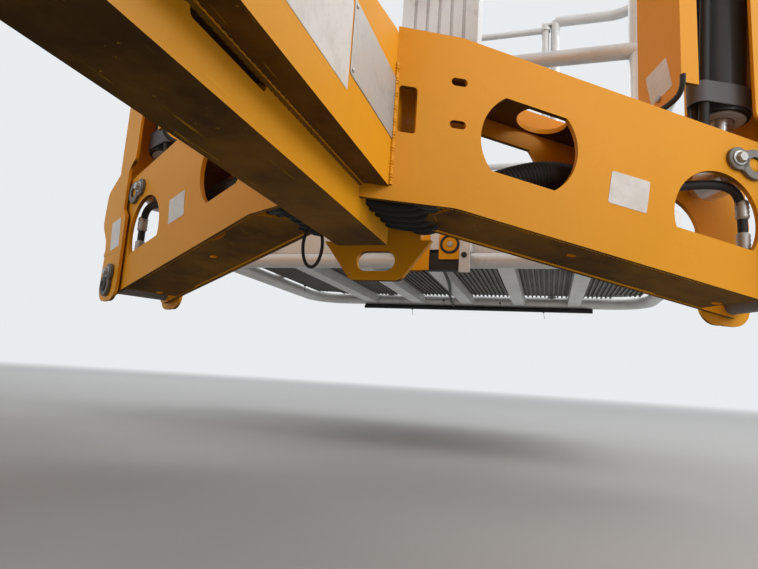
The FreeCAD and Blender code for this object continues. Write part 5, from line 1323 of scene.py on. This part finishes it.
class BOOMLIFT_OT_platform_fittings(bpy.types.Operator):
    """Adds the brackets, cable and strip under the platform, with its rivets, hinges and gate latch"""

    bl_idname = "boomlift.platform_fittings"
    bl_label = "Platform Fittings"

    NEAR = -2.1020          # column's front face
    FAR = -2.832            # far floor tube
    LOW = 0.417             # lowest edge, above the drawbar that the platform slews over
    TOE_Z = 0.545           # rivets of the toe boards

    def execute(self, context):
        self.brackets()
        self.underfloor()
        post = self.plate(0.0026, (0.076, 0.102), (0.413, 0.499), 0.002)
        make_piece("column_strip", [post], "aluminium", "platform")
        self.ribs()
        self.rivets()
        self.gate()
        return {"FINISHED"}

    def brackets(self):
        """The orange plates on the column's foot, one of them a shallow tray."""
        near = self.NEAR
        low = self.LOW
        orange = [
            self.plate(0.003, (-0.057, -0.012), (low, 0.510), 0.004),
            self.plate(0.0036, (-0.015, 0.004), (low + 0.001, 0.512), 0.002),
            block((near - 0.020, -0.057, low), (near, -0.053, 0.4305), 0.001),
            block((near - 0.020, -0.012, low), (near, -0.008, 0.4305), 0.001),
            block((near - 0.020, -0.057, low), (near, -0.008, low + 0.003), 0.001),
            self.plate(0.003, (0.027, 0.076), (0.444, 0.505), 0.004),
        ]
        make_piece("column_brackets", orange, "orange", "platform")

    def underfloor(self):
        """The socket, box and cable under the floor, the strip along its far tube and the cable ties."""
        near = self.NEAR
        socket = [(0.0175, 0), (0.0235, 0), (0.0235, 0.0015), (0.0205, 0.0028), (0.0175, 0.0015)]
        cable = (
            (-2.115, 0.034, 0.440), (-2.135, 0.033, 0.4275), (-2.20, 0.028, 0.4268),
            (-2.38, 0.010, 0.4262), (-2.55, -0.022, 0.4268), (-2.70, -0.040, 0.4265),
            (-2.76, -0.046, 0.4270), (-2.80, -0.047, 0.4275),
        )
        strip = self.FAR - 0.004
        lead = [(strip + 0.012, 0.405 - 0.16 * i, 0.4235 - 0.003 * (i % 2)) for i in range(6)]
        black = [
            lathe(socket, (near + 0.0032, 0.053, 0.481), (1, 0, 0), 36, ring=True),
            block((near - 0.019, -0.004, self.LOW + 0.001), (near - 0.0005, 0.080, 0.4635), 0.003),
            domed((near + 0.0035, 0.088, 0.455), (1, 0, 0), 0.007, 0.003),
            sweep(smooth_path(cable, 90), 0.0040, 12),
            block((strip, -0.395, 0.4165), (strip + 0.010, 0.423, 0.4312), 0.0012),
            sweep(smooth_path(lead, 60), 0.0062, 10),
        ]
        # Cable ties: place, height of the knot and length of the tail
        ties = (
            (-2.710, -0.070, 0.434, 0.014), (-2.748, 0.119, 0.434, 0.014), (-2.440, -0.474, 0.434, 0.024),
            (self.FAR, -0.210, 0.417, 0.024), (self.FAR, 0.262, 0.417, 0.024),
        )
        for x, y, z, drop in ties:
            tail = [(x, y, z), (x + 0.001, y + 0.001, z - 0.4 * drop), (x + 0.005, y + 0.004, z - drop)]
            black.append(sweep(smooth_path(tail, 12), 0.0014, 6, flat=0.5))
            black.append(block((x - 0.004, y - 0.003, z - 0.003), (x + 0.004, y + 0.003, z + 0.003), 0.001))
        make_piece("underfloor_fittings", black, "hose", "platform")

    def ribs(self):
        """The floor's finer ribs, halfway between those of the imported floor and 28 mm apart."""
        shapes = []
        for i in range(-20, 20):
            y = (i + 0.5) * 0.028
            shy = 0.045 if abs(y) > 0.480 else 0.0
            front = -2.184 if abs(y) < 0.104 else -2.1635
            low = (-2.8105 + shy, y - 0.0027, 0.4652)
            high = (front - shy, y + 0.0027, 0.4712)
            shapes.append(block(low, high, 0.0008))
        make_piece("floor_ribs", shapes, "floor_aluminium", "platform")

    def plate(self, thick, across, up, radius):
        """A plate on the column's front face, between two places across it and two heights."""
        outline = rounded_outline(across[1] - across[0], up[1] - up[0], radius)
        centre = (self.NEAR + 0.0002, sum(across) / 2, sum(up) / 2)
        return slab(outline, thick, centre, (0, 1, 0), (0, 0, 1), 0.0006)

    def rivets(self):
        """Rivets and bolts of the brackets, the toe boards and the control box."""
        face = self.NEAR + 0.0032
        heads = [hex_head((face, 0.053, 0.481), (1, 0, 0), 0.013, 0.0035)]
        heads += [domed((face, y, 0.498), (1, 0, 0), 0.004, 0.0022) for y in (-0.046, -0.022)]
        spots = []
        for y in np.linspace(-0.455, 0.455, 9):
            if abs(y) > 0.11:
                spots.append(((-2.1638, y, self.TOE_Z), (1, 0, 0)))
            if abs(y) > 0.33:
                spots.append(((-2.8112, y, self.TOE_Z), (-1, 0, 0)))
        for x in np.linspace(-2.70, -2.26, 5):
            spots += [((x, side * 0.5700, self.TOE_Z), (0, side, 0)) for side in (-1, 1)]
        heads += [domed(spot, out, 0.0042, 0.0016) for spot, out in spots]
        for x in (-2.161, -2.123):
            heads += [hex_head((x, y, 1.384), (0, 0, 1), 0.013, 0.008) for y in (0.08, -0.08)]
        make_piece("platform_rivets", heads, "zinc", "platform")

    def gate(self):
        """The gate's hinge collars and its spring latch."""
        x = self.FAR
        z = 1.015
        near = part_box("gate")[0][1]
        profile = [(0.0142, 0), (0.0185, 0), (0.0185, 0.010), (0.0142, 0.010)]
        collars = [lathe(profile, (x, 0.254, low), (0, 0, 1), 28, ring=True) for low in (0.600, 1.495)]
        latch = [
            sweep(np.linspace((x, near + 0.03, z), (x, near + 0.10, z), 12), 0.006, 14),
            block((x - 0.018, near + 0.032, z - 0.015), (x + 0.018, near + 0.082, z + 0.015), 0.003),
            domed((x, near + 0.098, z), (0, 1, 0), 0.010, 0.014),
        ]
        make_piece("gate_collars", collars, "aluminium", "gate")
        make_piece("gate_latch", latch, "black_plastic", "gate")


class BOOMLIFT_OT_stage(bpy.types.Operator):
    """Sets the pale floor and backdrop, the soft lamps and the camera"""

    bl_idname = "boomlift.stage"
    bl_label = "Stage, Lamps and Camera"

    SHOWN = ("Is Camera Ray", "Is Glossy Ray", "Is Transmission Ray")
    SKY_LIGHT = (0.94, 0.97, 1.0, 1.0)
    # The photograph's camera: its place, and its turns in degrees
    EYE = (-0.822, 0.283, 0.161)
    YAW = 17.405
    PITCH = 9.343
    ROLL = 3.656
    FOCAL_PIXELS = 554.1
    PHOTO_PIXELS = 758.0

    def execute(self, context):
        scene = context.scene
        settings = scene.boomlift.stage
        scene.view_settings.view_transform = "Standard"
        self.floor(scene, settings)
        self.world(scene, settings)
        self.lamps(scene, settings)
        self.camera(scene)
        return {"FINISHED"}

    def floor(self, scene, settings):
        """A flat disc, P(r, a), with rings closer together near the machine."""
        rings, sides = 40, 96
        radii = np.linspace(0, 1, rings)[:, None] ** 2 * 60.0 + 0.001
        angle = np.arange(sides) * 2 * math.pi / sides
        points = np.stack([radii * np.cos(angle), radii * np.sin(angle), 0 * radii * angle], 2).reshape(-1, 3)
        faces = grid_faces(rings, sides, wrap_columns=True)[:, ::-1]
        mesh = bpy.data.meshes.new("studio_floor")
        mesh.from_pydata(points.tolist(), [], faces.tolist())
        paint = Paint("studio_floor")
        fine = paint.noise(60.0, 5.0)
        body = paint.mix(fine.step(0.3, 0.7) * 0.1, rgb(settings.floor), rgb(settings.floor, 0.93))
        paint.set(Base_Color=body, Roughness=0.85)
        far = paint.node("ShaderNodeVectorMath", {"operation": "LENGTH"}, {0: paint.place}, "Value")
        haze = paint.node("ShaderNodeEmission", None, {"Color": rgb(settings.sky), "Strength": 1.0})
        near = Value(paint, paint.shader.outputs[0])
        mixed = paint.node("ShaderNodeMixShader", None, {0: far.step(3.2, 14.0), 1: near, 2: haze})
        paint.feed(paint.surface, mixed)
        mesh.materials.append(paint.material)
        floor = bpy.data.objects.new("studio_floor", mesh)
        scene.collection.objects.link(floor)

    def world(self, scene, settings):
        """Even light for the machine, and the backdrop's colour where the camera, gloss or glass sees it."""
        world = bpy.data.worlds.new("studio")
        scene.world = world
        world.use_nodes = True
        nodes = Nodes(world.node_tree)
        rays = [nodes.node("ShaderNodeLightPath", output=ray) for ray in self.SHOWN]
        either = {"operation": "MAXIMUM"}
        seen = nodes.node("ShaderNodeMath", either, {0: rays[1], 1: rays[2]})
        seen = nodes.node("ShaderNodeMath", either, {0: rays[0], 1: seen})
        light = nodes.node("ShaderNodeBackground", None, {"Color": self.SKY_LIGHT, "Strength": settings.fill})
        backdrop = nodes.node("ShaderNodeBackground", None, {"Color": rgb(settings.sky)})
        mixed = nodes.node("ShaderNodeMixShader", None, {0: seen, 1: light, 2: backdrop})
        output = nodes.tree.nodes.new("ShaderNodeOutputWorld")
        nodes.feed(output.inputs["Surface"], mixed)

    def lamps(self, scene, settings):
        """Large soft lamps: place, point lit, size and share of the key's power."""
        table = (
            ("key", (-3.0, 3.6, 4.2), (-1.4, 0.2, 0.6), 4.0, 1.0),
            ("rim", (-5.2, -3.4, 3.2), (-1.4, 0.0, 0.8), 3.0, 0.32),
            ("front", (2.6, 4.6, 2.8), (-0.9, 0.3, 0.6), 4.0, 0.8),
            ("far", (3.6, -4.6, 3.6), (0.4, 0.0, 1.0), 4.0, 0.3),
        )
        for name, place, target, size, share in table:
            data = bpy.data.lights.new(name, "AREA")
            data.shape = "DISK"
            data.size = size
            data.energy = settings.key * share
            lamp = bpy.data.objects.new(name, data)
            lamp.location = place
            lamp.rotation_euler = (Vector(target) - Vector(place)).to_track_quat("-Z", "Y").to_euler()
            scene.collection.objects.link(lamp)

    def camera(self, scene):
        """The photograph's camera: on the ground under the frame, looking back and up."""
        yaw, pitch, roll = (math.radians(a) for a in (self.YAW, self.PITCH, self.ROLL))
        ahead = Vector((-math.cos(yaw), -math.sin(yaw), 0.0))
        right = Vector((-math.sin(yaw), math.cos(yaw), 0.0))
        look = ahead * math.cos(pitch) + Vector((0, 0, 1)) * math.sin(pitch)
        down = ahead * math.sin(pitch) - Vector((0, 0, 1)) * math.cos(pitch)
        across = right * math.cos(roll) - down * math.sin(roll)
        below = right * math.sin(roll) + down * math.cos(roll)
        data = bpy.data.cameras.new("photo_camera")
        data.sensor_width = 36.0
        data.lens = self.FOCAL_PIXELS / self.PHOTO_PIXELS * data.sensor_width
        data.clip_start = 0.02
        data.clip_end = 200.0
        camera = bpy.data.objects.new("photo_camera", data)
        turn = Matrix((across, -below, -look)).transposed().to_4x4()
        camera.matrix_world = Matrix.Translation(self.EYE) @ turn
        scene.collection.objects.link(camera)
        scene.camera = camera


STEPS = (
    BOOMLIFT_OT_finishes,
    BOOMLIFT_OT_tyres,
    BOOMLIFT_OT_wheels,
    BOOMLIFT_OT_pins,
    BOOMLIFT_OT_welds,
    BOOMLIFT_OT_labels,
    BOOMLIFT_OT_beam_hoses,
    BOOMLIFT_OT_leg_hoses,
    BOOMLIFT_OT_leg_ears,
    BOOMLIFT_OT_frame_fittings,
    BOOMLIFT_OT_turntable_fittings,
    BOOMLIFT_OT_boom_fittings,
    BOOMLIFT_OT_controls,
    BOOMLIFT_OT_platform_fittings,
    BOOMLIFT_OT_stage,
)
SETTINGS = (
    WearSettings,
    ColourSettings,
    TyreSettings,
    HoseSettings,
    StageSettings,
    BoomLiftSettings,
)


class BOOMLIFT_PT_panel(bpy.types.Panel):
    """Lists the operators and the settings in the 3D view's sidebar"""

    bl_label = "Boom Lift"
    bl_idname = "BOOMLIFT_PT_panel"
    bl_space_type = "VIEW_3D"
    bl_region_type = "UI"
    bl_category = "Boom Lift"

    def draw(self, context):
        settings = context.scene.boomlift
        for group in (settings.wear, settings.colour, settings.tyre, settings.hose, settings.stage):
            box = self.layout.box()
            for key in group.__annotations__:
                box.prop(group, key)
        for step in STEPS:
            self.layout.operator(step.bl_idname)


def register():
    for part in SETTINGS + STEPS + (BOOMLIFT_PT_panel,):
        bpy.utils.register_class(part)
    bpy.types.Scene.boomlift = PointerProperty(type=BoomLiftSettings)


def unregister():
    del bpy.types.Scene.boomlift
    for part in reversed(SETTINGS + STEPS + (BOOMLIFT_PT_panel,)):
        bpy.utils.unregister_class(part)


def main():
    """Makes every piece in order."""
    register()
    for step in STEPS:
        group, name = step.bl_idname.split(".")
        getattr(getattr(bpy.ops, group), name)()


if __name__ == "__main__":
    main()
